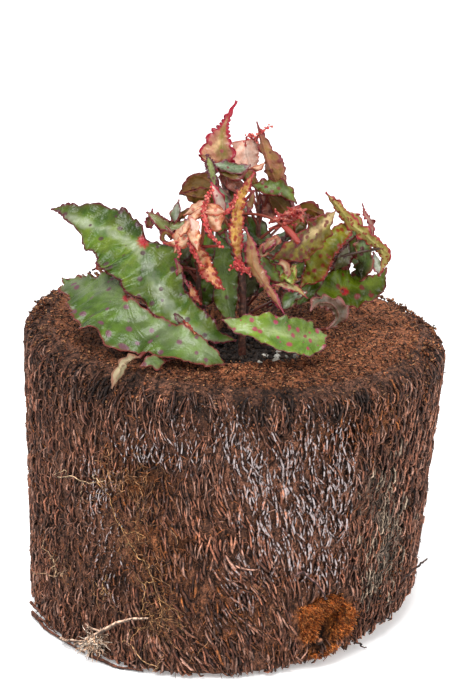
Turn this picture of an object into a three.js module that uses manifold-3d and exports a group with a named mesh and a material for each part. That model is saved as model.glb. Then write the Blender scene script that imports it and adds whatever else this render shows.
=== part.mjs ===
// A begonia with two-pointed, red-spotted leaves, growing in a drum sawn from a tree-fern trunk.
// Millimetres, +Z up, the front faces -Y. The origin is the centre of the drum's flat base.
import * as THREE from "three";
import { mergeVertices } from "three/addons/utils/BufferGeometryUtils.js";
import Module from "manifold-3d";

const wasm = await Module();
wasm.setup();

const GAP = 0.35; // clearance left between pieces that touch

// ---------------------------------------------------------------- driving dimensions
const DRUM = {
  radius: 74.5, // at the widest ring, below the shoulder
  height: 106, // at the middle of the sawn top
  fallRight: 0.06, // the top falls by this much per mm to the right
  riseBack: 0.03, // and rises by this much per mm to the back
  shoulder: 9, // rounding of the upper edge
  taper: 0.14, // share of the radius that is lost at the base, at the right
  footInset: 16, // the flat base ends this far inside the drum's side
  footLift: [2, 7], // height of the base's ragged edge, least and most
  topInsets: [22, 41], // rings on the sawn top, measured in from the side
  columns: 120, // an even number: root ridges stand on every second column
  rows: 9,
  ridge: 1, // how far a root ridge stands out of its furrow, each way
  sway: 0.022, // angle by which the ridges wander sideways
};
const SCAR = { angle: -63, height: 19, radius: 11, depth: 8, lip: 2.5 }; // where a frond broke off
const WELL = { x: 2, y: -15, radius: 28, floor: 50, sides: 40 }; // the planting hole
const SOIL = { top: 98.5, dome: 1.5, columns: 30, stones: 9, stoneSize: 2.2 };
const BLADE = {
  thickness: 0.7,
  endWidth: 0.35, // half width at the very tips
  fullWidth: 5, // half width from which the margin's waves are full
  tooth: 0.05, // the margin's teeth, as a share of the half width
  notchSpan: 0.05, // half the length of a notch, as a share of the midrib
};
const PETIOLE = { sides: 5, steps: 3 };
const STEM = { sides: 7, steps: 7 };

const COLOUR = {
  drum: 0x4a2c20,
  soil: 0x2b1d17,
  bark: 0x4b2a22,
  cane: 0x7a3a2c,
  green: 0x5d8a34,
  olive: 0x6f6a2c,
  young: 0xc79a6a,
  orange: 0xd58a2e,
  red: 0xc8443a,
  peach: 0xe8b092,
  dry: 0xb9ad8a,
};

// Stems: their middle line from inside the soil to the growing tip, and their radius.
const STEMS = {
  stem_main: {
    line: [[3, -21, 84], [3, -22, 108], [3, -22, 128], [0, -17, 146], [-3, -13, 160]],
    radius: 1.3,
  },
  stem_right: { line: [[9, -13, 84], [12, -12, 106], [17, -14, 122], [21, -16, 134]], radius: 1.1 },
  stem_left: { line: [[-5, -17, 84], [-8, -18, 106], [-12, -21, 124], [-11, -26, 142]], radius: 1.0 },
  stem_back: { line: [[3, -5, 84], [4, -3, 108], [8, -2, 128], [9, -4, 150]], radius: 1.1 },
};

// Leaves, bracts and young shoots. Each row of spine is a point of the midrib, from the tail to the
// main tip, and the half widths of the blade to its left and right there, seen from the upper side
// with the tip up. face is the way the upper side looks. heart is the share of the spine at which the
// petiole joins, from is the stem and the height on it, 0 to 1, and via bends the petiole.
const PLAIN = {
  face: [0, -0.8, 0.6],
  heart: 0.03,
  fold: 8, // degrees by which the halves rise towards the face
  curl: 0, // and their further bend, as a share of the half width
  ruffle: 0.5, // height of the margin's waves
  waves: 5, // waves along each margin
  across: 2, // cells across the blade
  petiole: 0.5, // radius
};
const LEAVES = {
  leaf_left_upper: {
    spine: [[1, -36, 110, 0, 0], [-6, -39, 113, 3, 2.5], [-12, -38, 117, 5, 4.5], [-18, -35, 121, 7, 5],
      [-23, -30, 128, 11, 6], [-27, -26, 135, 15, 9], [-31, -22, 141, 17, 7], [-38, -17, 144, 15, 6],
      [-46, -12, 146, 10.5, 6], [-57, -6, 148, 4, 3], [-64, -3, 148, 0, 0]],
    face: [-0.1, -0.75, 0.65], heart: 0.6, notch: ["right", 0.8], petiole: 0.8,
    from: ["stem_left", 0.75], via: [-22, -13, 134],
    ruffle: 1.5, waves: 12, across: 4, colour: "green",
  },
  leaf_left_lower: {
    spine: [[-3, -50, 106, 0, 0], [-8, -52, 110, 4, 3.5], [-16, -50, 114, 8.5, 4.5], [-23, -44, 116, 11, 3.5],
      [-30, -39, 118, 14.5, 3.5], [-37, -32, 124, 18, 4], [-44, -24, 125, 15, 6], [-50, -15, 123, 10, 5],
      [-56, -7, 122, 5, 3], [-61, 0, 122, 0, 0]],
    face: [-0.1, -0.7, 0.7], heart: 0.55, notch: ["right", 0.75], petiole: 0.8,
    from: ["stem_left", 0.5], via: [-24, -24, 114],
    ruffle: 1.3, waves: 12, across: 4, colour: "green",
  },
  leaf_front: {
    spine: [[32, -36, 112, 0, 0], [28, -40, 112, 4.5, 5], [23, -44, 114, 7.5, 6.5], [17, -48, 116, 6.5, 6.5],
      [10, -49, 118, 5, 5.5], [2, -48, 119, 2.5, 3.5], [-4, -44, 120, 0, 0]],
    heart: 0.3, petiole: 0.8, from: ["stem_right", 0.45], via: [20, -36, 110],
    ruffle: 0.8, waves: 7, across: 4, colour: "green",
  },
  leaf_front_curl: {
    spine: [[32, -30, 112, 0, 0], [36, -28, 116, 3, 1.5], [34, -30, 121, 3, 2], [29, -34, 123, 2.5, 1.5],
      [26, -37, 121, 0, 0]],
    face: [0, 0.9, 0.2], from: ["stem_right", 0.42], via: [24, -22, 108],
    ruffle: 0.5, waves: 6, colour: "olive",
  },
  leaf_right_lower: {
    spine: [[25, -14, 123, 0, 0], [32, -10, 121, 5.5, 5], [39, -6, 119, 9, 6.5], [45, -3, 119, 6, 6.5],
      [50, 1, 120, 3, 4.5], [55, 7, 124, 0, 0]],
    heart: 0.4, petiole: 0.8, from: ["stem_right", 0.55], via: [28, -6, 116],
    ruffle: 0.9, waves: 6, across: 4, colour: "green",
  },
  leaf_right_mid: {
    spine: [[23, -22, 125, 0, 0], [27, -20, 129, 3.5, 4], [31, -17, 136, 4, 4.5], [36, -12, 141, 3.5, 4],
      [43, -6, 144, 0, 0]],
    heart: 0.3, from: ["stem_right", 0.75], via: [24, -12, 130], ruffle: 0.8, waves: 6, colour: "young",
  },
  leaf_right_spotted: {
    spine: [[13, -33, 138, 0, 0], [17, -32, 140, 4, 2], [22, -30, 143, 8, 3], [28, -26, 146, 7, 4.5],
      [32, -23, 149, 3.5, 3], [35, -21, 152, 0, 0]],
    face: [0, 0.9, 0.2], heart: 0.4, petiole: 0.8, from: ["stem_main", 0.8], via: [14, -32, 156],
    ruffle: 0.8, waves: 6, across: 4, colour: "young",
  },
  leaf_right_arch: {
    spine: [[51, -8, 125, 0, 0], [53, -10, 133, 2, 1.5], [48, -12, 139, 2, 2], [41, -11, 145, 2, 2],
      [36, -9, 151, 1.5, 1.5], [32, -7, 155, 0, 0]],
    face: [0.3, 0.9, 0.3], heart: 0.3, from: ["stem_right", 0.9], via: [36, -8, 132],
    ruffle: 0.5, waves: 8, colour: "young",
  },
  leaf_right_cup: {
    spine: [[46, 2, 124, 0, 0], [45, 4, 128, 4, 3.5], [44, 6, 132, 5, 4.5], [43, 8, 137, 4, 3.5],
      [41, 9, 141, 0, 0]],
    face: [-0.2, -0.95, 0.2], from: ["stem_right", 0.6], via: [32, 4, 116], fold: 20, colour: "green",
  },
  leaf_right_tiny: {
    spine: [[50, 8, 134, 0, 0], [49, 9, 140, 1.5, 2], [47, 10, 143, 1, 1], [46, 10, 147, 0, 0]],
    from: ["stem_right", 0.7], via: [40, 12, 118], waves: 4, colour: "red",
  },
  leaf_top: {
    spine: [[-5, -10, 163, 3, 1.5], [-4, -10, 168, 8.5, 4.5], [-4, -9, 174, 6.8, 3.2],
      [-2, -7, 181, 2.4, 1.4], [1, -6, 187, 0, 0]],
    face: [0, -0.95, 0.2], from: ["stem_main", 0.97], ruffle: 0.6, waves: 8, across: 4, colour: "young",
  },
  bract_top: {
    spine: [[7, -3, 161, 1, 1], [5, -2, 166, 5, 4], [4, 0, 172, 4.5, 4.5]],
    face: [0, -0.95, 0.2], from: ["stem_back", 0.98], ruffle: 0.4, waves: 4, across: 4, colour: "peach",
  },
  leaf_top_right: {
    spine: [[17, -4, 154, 2, 2], [14, -5, 160, 5, 4], [12, -5, 165, 4.5, 2], [10, -4, 172, 2.5, 1.8],
      [8, -2, 179, 0, 0]],
    face: [0.3, 0.9, 0.1], heart: 0.1, from: ["stem_back", 0.95], fold: 25, waves: 7, colour: "young",
  },
  leaf_green_top_right: {
    spine: [[6, -8, 158, 0, 0], [11, -11, 158, 2.5, 3], [17, -12, 157, 3, 3], [22, -11, 152, 0, 0]],
    heart: 0.35, from: ["stem_back", 0.9], via: [12, -7, 151], waves: 5, colour: "green",
  },
  leaf_brown_under: {
    spine: [[8, 2, 146, 0, 0], [12, 1, 148, 3, 3], [17, 2, 148, 3, 3], [23, 4, 145, 0, 0]],
    face: [0, 0.9, 0.3], heart: 0.1, from: ["stem_back", 0.95], colour: "olive",
  },
  leaf_grey_green: {
    spine: [[-8, -15, 167, 0, 0], [-3, -15, 166, 2, 2], [2, -14, 165, 2, 2], [6, -13, 166, 0, 0]],
    heart: 0.4, from: ["stem_main", 0.95], colour: "green",
  },
  leaf_brown_centre: {
    spine: [[3, -6, 154, 0, 0], [-1, -6, 157, 2.5, 2.5], [-5, -6, 160, 0, 0]],
    face: [0, 0.9, 0.3], from: ["stem_back", 0.88], waves: 4, colour: "olive",
  },
  leaf_olive_left: {
    spine: [[-5, -10, 157, 2, 2], [-9, -8, 157, 6, 6], [-14, -6, 156, 4.5, 4.5], [-19, -5, 154, 0, 0]],
    face: [0, 0.9, 0.2], from: ["stem_main", 0.85], ruffle: 0.3, colour: "olive",
  },
  leaf_grey_left: {
    spine: [[-19, -11, 144, 0, 0], [-20, -10, 148, 2, 2], [-19, -9, 153, 0, 0]],
    from: ["stem_left", 0.8], waves: 4, colour: "green",
  },
  leaf_olive_small: {
    spine: [[-20, -13, 146, 0, 0], [-17, -13, 149, 2, 1.5], [-14, -13, 151, 0, 0]],
    face: [0, 0.9, 0.2], from: ["stem_left", 0.85], waves: 4, colour: "olive",
  },
  leaf_curly_left: {
    spine: [[-14, -17, 145, 0, 0], [-19, -18, 144, 2, 1.5], [-23, -18, 145, 2, 2.5], [-27, -17, 148, 1.5, 2],
      [-30, -15, 150, 0, 0]],
    from: ["stem_left", 0.9], waves: 7, colour: "young",
  },
  leaf_narrow_toothed: {
    spine: [[-6, -22, 159, 0, 0], [-7, -21, 164, 1.5, 1.5], [-8, -20, 168, 1.5, 1.5], [-9, -19, 171, 0, 0]],
    from: ["stem_main", 0.88], colour: "young",
  },
  bract_pale: {
    spine: [[-4, -27, 152, 0, 0], [-5, -26, 157, 1.5, 1.5], [-7, -25, 162, 0, 0]],
    from: ["stem_main", 0.74], waves: 4, colour: "peach",
  },
  shoot_red: {
    spine: [[-4, -36, 143, 0, 0], [-8, -37, 148, 1.5, 1.5], [-10, -35, 155, 1.5, 1.5], [-9, -33, 159, 1, 1],
      [-7, -31, 162, 0, 0]],
    from: ["stem_left", 0.97], waves: 8, colour: "red",
  },
  leaf_orange: {
    spine: [[3, -37, 136, 0, 0], [1, -37, 144, 2, 2], [1, -36, 152, 2.5, 2.5], [2, -34, 158, 2.5, 2.5],
      [4, -31, 162, 2, 1.5], [7, -28, 167, 0, 0]],
    face: [0, -0.95, 0.2], from: ["stem_main", 0.6], waves: 9, colour: "orange",
  },
  leaf_beige_hanging: {
    spine: [[4, -36, 150, 0, 0], [6, -38, 144, 2, 1.5], [7, -39, 137, 2.5, 2.5], [12, -42, 130, 2, 1.5],
      [17, -44, 122, 0, 0]],
    face: [0, 0.9, 0.1], from: ["stem_main", 0.77], waves: 8, colour: "peach",
  },
  bract_upper: {
    spine: [[-3, -31, 152, 0, 0], [-7, -32, 154, 2.5, 2.5], [-11, -32, 154, 2, 2], [-15, -32, 151, 0, 0]],
    from: ["stem_main", 0.66], waves: 4, colour: "peach",
  },
  bract_fold: {
    spine: [[-8, -26, 157, 0, 0], [-12, -27, 155, 2.5, 2], [-17, -28, 152, 0, 0]],
    from: ["stem_left", 0.95], waves: 4, colour: "peach",
  },
  bract_middle: {
    spine: [[-13, -38, 152, 0, 0], [-13, -40, 148, 2.5, 2.5], [-12, -41, 143, 0, 0]],
    from: ["stem_left", 0.99], waves: 4, colour: "peach",
  },
  bract_left: {
    spine: [[-16, -28, 150, 0, 0], [-18, -31, 146, 2.5, 2.5], [-20, -32, 140, 0, 0]],
    from: ["stem_left", 0.93], waves: 4, colour: "peach",
  },
  leaf_yellow_red: {
    spine: [[-14, -29, 144, 0, 0], [-12, -31, 140, 2.5, 2.5], [-9, -34, 135, 2.5, 2.5],
      [-6, -37, 131, 1.5, 1.5], [-3, -39, 129, 0, 0]],
    from: ["stem_left", 0.84], waves: 8, colour: "orange",
  },
  leaf_dark_left: {
    spine: [[-12, -14, 135, 0, 0], [-16, -15, 132, 3, 3], [-19, -15, 127, 3, 3], [-22, -14, 124, 0, 0]],
    face: [0, 0.9, 0.2], from: ["stem_left", 0.7], waves: 4, colour: "olive",
  },
  leaf_yellow_small: {
    spine: [[-11, -30, 121, 0, 0], [-14, -30, 125, 1.5, 1.5], [-15, -29, 129, 0, 0]],
    from: ["stem_left", 0.6], waves: 4, colour: "young",
  },
  leaf_centre_green: {
    spine: [[0, -26, 112, 0, 0], [-2, -25, 120, 4, 4], [-3, -22, 129, 4.5, 4.5], [-4, -18, 137, 3.5, 3.5],
      [-6, -14, 143, 0, 0]],
    from: ["stem_main", 0.3], waves: 6, colour: "green",
  },
  leaf_centre_right: {
    spine: [[3, -2, 146, 0, 0], [7, -2, 141, 4, 3.5], [11, -2, 137, 3, 3], [15, -1, 133, 0, 0]],
    from: ["stem_back", 0.78], waves: 4, colour: "green",
  },
  shoot_right: {
    spine: [[21, -26, 148, 0, 0], [17, -25, 150, 1.5, 1.5], [14, -24, 153, 0, 0]],
    from: ["stem_right", 0.97], waves: 4, colour: "red",
  },
  leaf_back_right: {
    spine: [[19, 8, 142, 0, 0], [25, 10, 143, 2.5, 3], [30, 12, 141, 2.5, 2.5], [34, 14, 137, 0, 0]],
    face: [0, 0.9, 0.3], from: ["stem_back", 0.75], colour: "olive",
  },
  leaf_rolled: {
    spine: [[10, -35, 141, 0, 0], [12, -35, 144, 1.5, 1.5], [15, -34, 146, 0, 0]],
    from: ["stem_right", 0.92], waves: 4, colour: "peach",
  },
  leaf_small_green: {
    spine: [[8, -28, 139, 0, 0], [10, -30, 136, 2.5, 2.5], [13, -31, 132, 2.5, 2], [17, -32, 129, 0, 0]],
    from: ["stem_right", 0.84], waves: 4, colour: "green",
  },
  leaf_crinkled: {
    spine: [[18, -33, 128, 0, 0], [18, -34, 132, 2, 2], [20, -34, 136, 0, 0]],
    from: ["stem_right", 0.8], waves: 4, colour: "young",
  },
  leaf_low_right: {
    spine: [[18, -30, 120, 0, 0], [20, -30, 123, 2.5, 2.5], [23, -29, 127, 0, 0]],
    from: ["stem_right", 0.65], waves: 4, colour: "green",
  },
  leaf_red_tip: {
    spine: [[13, -37, 130, 0, 0], [17, -37, 130, 1.5, 1.5], [21, -38, 129, 1.5, 1.5], [25, -39, 126, 0, 0]],
    from: ["stem_right", 0.72], waves: 4, colour: "young",
  },
  leaf_dry: {
    spine: [[-31, -54, 110, 0, 0], [-35, -58, 110, 1.5, 1.5], [-38, -62, 107, 1.5, 2], [-40, -66, 103, 0, 0]],
    face: [0, 0.9, 0.2], from: ["stem_left", 0.45], via: [-24, -36, 112], waves: 5, colour: "dry",
  },
  leaf_under_dry: {
    spine: [[-22, -52, 108, 0, 0], [-27, -55, 109, 3, 2], [-31, -58, 108, 0, 0]],
    from: ["stem_left", 0.38], via: [-12, -40, 108], waves: 4, colour: "green",
  },
  leaf_back_left: {
    spine: [[-8, 4, 119, 0, 0], [-18, 12, 126, 8, 9], [-30, 19, 127, 8, 8], [-42, 23, 123, 4, 4],
      [-52, 25, 118, 0, 0]],
    face: [-0.1, 0.5, 0.9], heart: 0.3, from: ["stem_back", 0.4],
    ruffle: 1.1, waves: 8, across: 4, colour: "green",
  },
  leaf_back_middle: {
    spine: [[3, 6, 122, 0, 0], [4, 15, 130, 8, 7], [3, 27, 131, 7, 7], [0, 38, 126, 3, 4],
      [-2, 46, 119, 0, 0]],
    face: [0, 0.5, 0.9], heart: 0.25, from: ["stem_back", 0.6],
    ruffle: 1.1, waves: 8, across: 4, colour: "green",
  },
  leaf_back_low: {
    spine: [[12, 4, 110, 0, 0], [22, 13, 114, 6, 7], [33, 22, 114, 6, 6], [45, 30, 110, 0, 0]],
    face: [0.2, 0.4, 0.9], heart: 0.3, from: ["stem_back", 0.35],
    ruffle: 1, waves: 7, across: 4, colour: "green",
  },
  leaf_back_high: {
    spine: [[4, 2, 140, 0, 0], [1, 10, 146, 5, 5], [-5, 18, 146, 4, 4], [-12, 24, 142, 0, 0]],
    face: [-0.1, 0.5, 0.9], heart: 0.2, from: ["stem_back", 0.7], ruffle: 0.7, waves: 6, colour: "olive",
  },
};

// ---------------------------------------------------------------- small helpers
const vector = (p) => new THREE.Vector3(...p);
const smoothCurve = (points) => new THREE.CatmullRomCurve3(points.map(vector), false, "catmullrom", 0.5);

// A repeatable draw from 0 to 1.
function seededDraw(seed) {
  let state = seed;
  return () => {
    state = (state * 1664525 + 1013904223) % 4294967296;
    return state / 4294967296;
  };
}

// A closed geometry as a manifold solid.
function solid(geometry) {
  const bare = new THREE.BufferGeometry().setAttribute("position", geometry.getAttribute("position"));
  if (geometry.index) bare.setIndex(geometry.index);
  const merged = mergeVertices(bare, 1e-3);
  const vertProperties = new Float32Array(merged.attributes.position.array);
  const triVerts = new Uint32Array(merged.index.array);
  return new wasm.Manifold(new wasm.Mesh({ numProp: 3, vertProperties, triVerts }));
}

// A manifold solid as a named mesh.
function pieceMesh(name, body, colour, roughness) {
  const { numProp, vertProperties, triVerts } = body.getMesh();
  const positions = new Float32Array((vertProperties.length / numProp) * 3);
  for (let i = 0; i < positions.length / 3; i++) {
    positions.set(vertProperties.subarray(i * numProp, i * numProp + 3), i * 3);
  }
  const geometry = new THREE.BufferGeometry();
  geometry.setAttribute("position", new THREE.BufferAttribute(positions, 3));
  geometry.setIndex(new THREE.BufferAttribute(triVerts, 1));
  geometry.computeVertexNormals();
  const material = new THREE.MeshStandardMaterial({ color: colour, roughness, metalness: 0 });
  const mesh = new THREE.Mesh(geometry, material);
  mesh.name = name;
  return mesh;
}

// The largest of a solid's separate bodies: a cut can leave a loose scrap.
function largestBody(body) {
  return body.decompose().reduce((a, b) => (b.volume() > a.volume() ? b : a));
}

// A round bar along a curve.
function bar(curve, radius, sides, steps) {
  const section = new THREE.Shape(
    Array.from({ length: sides }, (_, i) => {
      const turn = (2 * Math.PI * i) / sides;
      return new THREE.Vector2(radius * Math.cos(turn), radius * Math.sin(turn));
    }),
  );
  return solid(new THREE.ExtrudeGeometry(section, { steps, extrudePath: curve, bevelEnabled: false }));
}

// ---------------------------------------------------------------- drum
const topHeight = (x, y) => DRUM.height - DRUM.fallRight * x + DRUM.riseBack * y;

// The drum's outline seen from above, as a factor on its radius.
function plan(angle) {
  const oval = 0.012 * Math.cos(2 * angle + 0.6);
  const lobes = 0.012 * Math.cos(3 * angle - 1.1) + 0.006 * Math.cos(5 * angle);
  return 1 + oval + lobes;
}

// The drum narrows to its base, most of all at the right.
function taper(angle, z) {
  const low = 1 - z / DRUM.height;
  return 1 - low * DRUM.taper * Math.max(0, Math.cos(angle + 0.3));
}

// Distance from the frond scar's middle, in scar radii.
function scarDistance(angle, z) {
  const across = (angle - THREE.MathUtils.degToRad(SCAR.angle)) * DRUM.radius;
  return Math.hypot(across, (z - SCAR.height) * 1.05) / SCAR.radius;
}

function scarRelief(angle, z) {
  const d = scarDistance(angle, z);
  return SCAR.lip * Math.exp(-(((d - 1.1) / 0.35) ** 2)) - SCAR.depth * Math.exp(-((d / 0.6) ** 2));
}

// The height of the base's ragged edge. It rises at the right, and the furrows end lower than the ridges.
function footHeight(angle, side) {
  const [least, most] = DRUM.footLift;
  return (least + (most - least) * Math.max(0, Math.cos(angle + 0.3)) ** 4) * (0.8 + 0.2 * side);
}

function drumGeometry() {
  const { radius, height, shoulder, columns, rows } = DRUM;
  const sideTop = height - shoulder;
  const profile = [new THREE.Vector2(0, 0), new THREE.Vector2(radius - DRUM.footInset, 0)];
  const footRow = profile.length;
  for (let i = 0; i <= rows; i++) profile.push(new THREE.Vector2(radius, (sideTop * i) / rows));
  for (const degrees of [35, 65, 90]) {
    const turn = THREE.MathUtils.degToRad(degrees);
    const inset = shoulder * (1 - Math.cos(turn));
    profile.push(new THREE.Vector2(radius - inset, sideTop + shoulder * Math.sin(turn)));
  }
  const shoulderRow = profile.length - 1;
  for (const inset of DRUM.topInsets) profile.push(new THREE.Vector2(radius - inset, height));
  profile.push(new THREE.Vector2(0, height));
  const geometry = new THREE.LatheGeometry(profile, columns);
  geometry.rotateX(Math.PI / 2); // the lathe turns about Y
  const draw = seededDraw(7);
  const bumps = Array.from({ length: columns * profile.length }, () => draw() - 0.5);
  const position = geometry.getAttribute("position");
  for (let i = 0; i < position.count; i++) {
    const row = i % profile.length;
    const column = Math.floor(i / profile.length) % columns;
    const bump = bumps[column * profile.length + row];
    const at = new THREE.Vector3().fromBufferAttribute(position, i);
    if (row < footRow) continue;
    if (row > shoulderRow) {
      position.setZ(i, topHeight(at.x, at.y) + (row < profile.length - 1 ? bump : 0));
      continue;
    }
    const straight = Math.atan2(at.y, at.x);
    const wander = Math.sin(at.z / 15 + 4 * straight) + 0.6 * Math.sin(at.z / 7 - 9 * straight);
    const angle = straight + DRUM.sway * wander;
    const side = column % 2 === 0 ? 1 : -1;
    const plain = Math.exp(-(scarDistance(straight, at.z) ** 2)); // no ridges in the scar
    const ridge = DRUM.ridge * side * (0.75 + 0.8 * bump) * (1 - plain);
    const outline = Math.hypot(at.x, at.y) * plan(straight) * taper(straight, at.z);
    const r = outline + ridge + scarRelief(straight, at.z);
    const x = r * Math.cos(angle);
    const y = r * Math.sin(angle);
    const z = row === footRow ? footHeight(straight, side) : (at.z * topHeight(x, y)) / height;
    position.setXYZ(i, x, y, z);
  }
  return geometry;
}

function wellSolid() {
  const depth = DRUM.height * 2 - WELL.floor;
  const cylinder = new THREE.CylinderGeometry(WELL.radius, WELL.radius, depth, WELL.sides);
  cylinder.rotateX(Math.PI / 2);
  cylinder.translate(WELL.x, WELL.y, WELL.floor + depth / 2);
  return solid(cylinder);
}

// ---------------------------------------------------------------- soil
function soilSolid(stemSleeves) {
  const radius = WELL.radius - GAP;
  const profile = [
    new THREE.Vector2(0, WELL.floor + GAP),
    new THREE.Vector2(radius, WELL.floor + GAP),
    new THREE.Vector2(radius, SOIL.top - 1),
    new THREE.Vector2(radius * 0.72, SOIL.top),
    new THREE.Vector2(radius * 0.4, SOIL.top + SOIL.dome * 0.7),
    new THREE.Vector2(0, SOIL.top + SOIL.dome),
  ];
  const geometry = new THREE.LatheGeometry(profile, SOIL.columns);
  geometry.rotateX(Math.PI / 2);
  const draw = seededDraw(21);
  const bumps = Array.from({ length: SOIL.columns * profile.length }, () => draw() - 0.5);
  const position = geometry.getAttribute("position");
  for (let i = 0; i < position.count; i++) {
    const row = i % profile.length;
    const column = Math.floor(i / profile.length) % SOIL.columns;
    if (row > 2 && row < 5) position.setZ(i, position.getZ(i) + 1.6 * bumps[column * profile.length + row]);
  }
  geometry.translate(WELL.x, WELL.y, 0);
  let body = solid(geometry);
  for (let i = 0; i < SOIL.stones; i++) {
    const turn = 2 * Math.PI * draw();
    const out = (0.35 + 0.5 * draw()) * radius;
    const stone = new THREE.IcosahedronGeometry(SOIL.stoneSize * (0.6 + 0.6 * draw()), 0);
    stone.rotateX(draw() * 3).rotateZ(draw() * 3);
    stone.translate(WELL.x + out * Math.cos(turn), WELL.y + out * Math.sin(turn), SOIL.top + 0.2);
    body = body.add(solid(stone));
  }
  for (const sleeve of stemSleeves) body = body.subtract(sleeve);
  return largestBody(body);
}

// ---------------------------------------------------------------- leaves
// A leaf's midrib, and its half widths to the left and right, as curves from the tail to the tip.
function leafCurves(leaf) {
  return {
    midrib: smoothCurve(leaf.spine.map((row) => row.slice(0, 3))),
    margins: smoothCurve(leaf.spine.map((row) => [row[3], row[4], 0])),
  };
}

// The frame at a share u of the midrib: the point, the side to the left, and the way up.
function midribFrame(curves, leaf, u) {
  const point = curves.midrib.getPoint(u);
  const tangent = curves.midrib.getTangent(u);
  const left = new THREE.Vector3().crossVectors(vector(leaf.face), tangent).normalize();
  const up = new THREE.Vector3().crossVectors(tangent, left).normalize();
  return { point, left, up };
}

// The half width at a share u of the midrib, on the "left" or the "right".
function halfWidth(curves, leaf, side, u) {
  const { x, y } = curves.margins.getPoint(u);
  let width = side === "left" ? x : y;
  if (leaf.notch && leaf.notch[0] === side) {
    width *= 1 - leaf.notch[1] * Math.exp(-(((u - leaf.heart) / BLADE.notchSpan) ** 2));
  }
  return Math.max(width, BLADE.endWidth);
}

// A point of the blade's middle surface: v runs from -1 at the left margin to 1 at the right one.
function bladePoint(curves, leaf, u, v) {
  const { point, left, up } = midribFrame(curves, leaf, u);
  const side = v < 0 ? "left" : "right";
  const out = Math.abs(v);
  const width = halfWidth(curves, leaf, side, u);
  const wave = Math.cos(2 * Math.PI * leaf.waves * u) * (v < 0 ? 1 : -1);
  const fullness = Math.min(1, width / BLADE.fullWidth);
  const fold = THREE.MathUtils.degToRad(leaf.fold);
  const tooth = out === 1 ? 1 + BLADE.tooth * wave * fullness : 1;
  const across = width * out * tooth * Math.cos(fold) * (v < 0 ? 1 : -1);
  const lift = width * out * Math.sin(fold) + leaf.curl * width * out ** 2;
  const waved = leaf.ruffle * fullness * wave * out ** 2;
  return { at: point.addScaledVector(left, across).addScaledVector(up, lift + waved), up };
}

// The blade: an upper and a lower face split into the same triangles, and a rim between them.
function bladeSolid(curves, leaf) {
  const along = leaf.waves * 2;
  const { across } = leaf;
  const positions = [];
  const faces = [];
  const count = (along + 1) * (across + 1);
  for (const offset of [0.5, -0.5]) {
    for (let i = 0; i <= along; i++) {
      for (let j = 0; j <= across; j++) {
        const { at, up } = bladePoint(curves, leaf, i / along, (2 * j) / across - 1);
        at.addScaledVector(up, offset * BLADE.thickness);
        positions.push(at.x, at.y, at.z);
      }
    }
  }
  const index = (i, j) => i * (across + 1) + j;
  for (let i = 0; i < along; i++) {
    for (let j = 0; j < across; j++) {
      const [a, b, c, d] = [index(i, j), index(i + 1, j), index(i + 1, j + 1), index(i, j + 1)];
      faces.push(a, c, b, a, d, c);
      faces.push(a + count, b + count, c + count, a + count, c + count, d + count);
    }
  }
  const rim = [];
  for (let i = 0; i < along; i++) rim.push(index(i, 0));
  for (let j = 0; j < across; j++) rim.push(index(along, j));
  for (let i = along; i > 0; i--) rim.push(index(i, across));
  for (let j = across; j > 0; j--) rim.push(index(0, j));
  rim.forEach((a, k) => {
    const b = rim[(k + 1) % rim.length];
    faces.push(a, b, a + count, b, b + count, a + count);
  });
  const geometry = new THREE.BufferGeometry();
  geometry.setAttribute("position", new THREE.Float32BufferAttribute(positions, 3));
  geometry.setIndex(faces);
  return solid(geometry);
}

// The petiole: from the middle of its stem to the midrib at the heart.
function petioleSolid(curves, leaf, stemCurves) {
  const [stemName, share] = leaf.from;
  const start = stemCurves[stemName].getPoint(share);
  const end = curves.midrib.getPoint(leaf.heart);
  const bend = leaf.via ? vector(leaf.via) : start.clone().lerp(end, 0.5);
  const path = new THREE.QuadraticBezierCurve3(start, bend, end);
  return bar(path, leaf.petiole, PETIOLE.sides, leaf.via ? PETIOLE.steps : 1);
}

// ---------------------------------------------------------------- the object
const object = new THREE.Group();
const stemCurves = {};
const stemSleeves = {};
for (const [name, { line, radius }] of Object.entries(STEMS)) {
  stemCurves[name] = smoothCurve(line);
  stemSleeves[name] = bar(stemCurves[name], radius + GAP, STEM.sides, STEM.steps);
}

const well = wellSolid();
object.add(pieceMesh("fern_drum", largestBody(solid(drumGeometry()).subtract(well)), COLOUR.drum, 0.95));
object.add(pieceMesh("soil", soilSolid(Object.values(stemSleeves)), COLOUR.soil, 1));
for (const [name, { radius }] of Object.entries(STEMS)) {
  object.add(pieceMesh(name, bar(stemCurves[name], radius, STEM.sides, STEM.steps), COLOUR.cane, 0.6));
}
for (const [name, entry] of Object.entries(LEAVES)) {
  const leaf = { ...PLAIN, ...entry };
  const curves = leafCurves(leaf);
  let body = bladeSolid(curves, leaf).add(petioleSolid(curves, leaf, stemCurves));
  for (const sleeve of Object.values(stemSleeves)) body = body.subtract(sleeve);
  object.add(pieceMesh(name, largestBody(body), COLOUR[leaf.colour], 0.45));
}

export default object;
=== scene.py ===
import functools
import math

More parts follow.
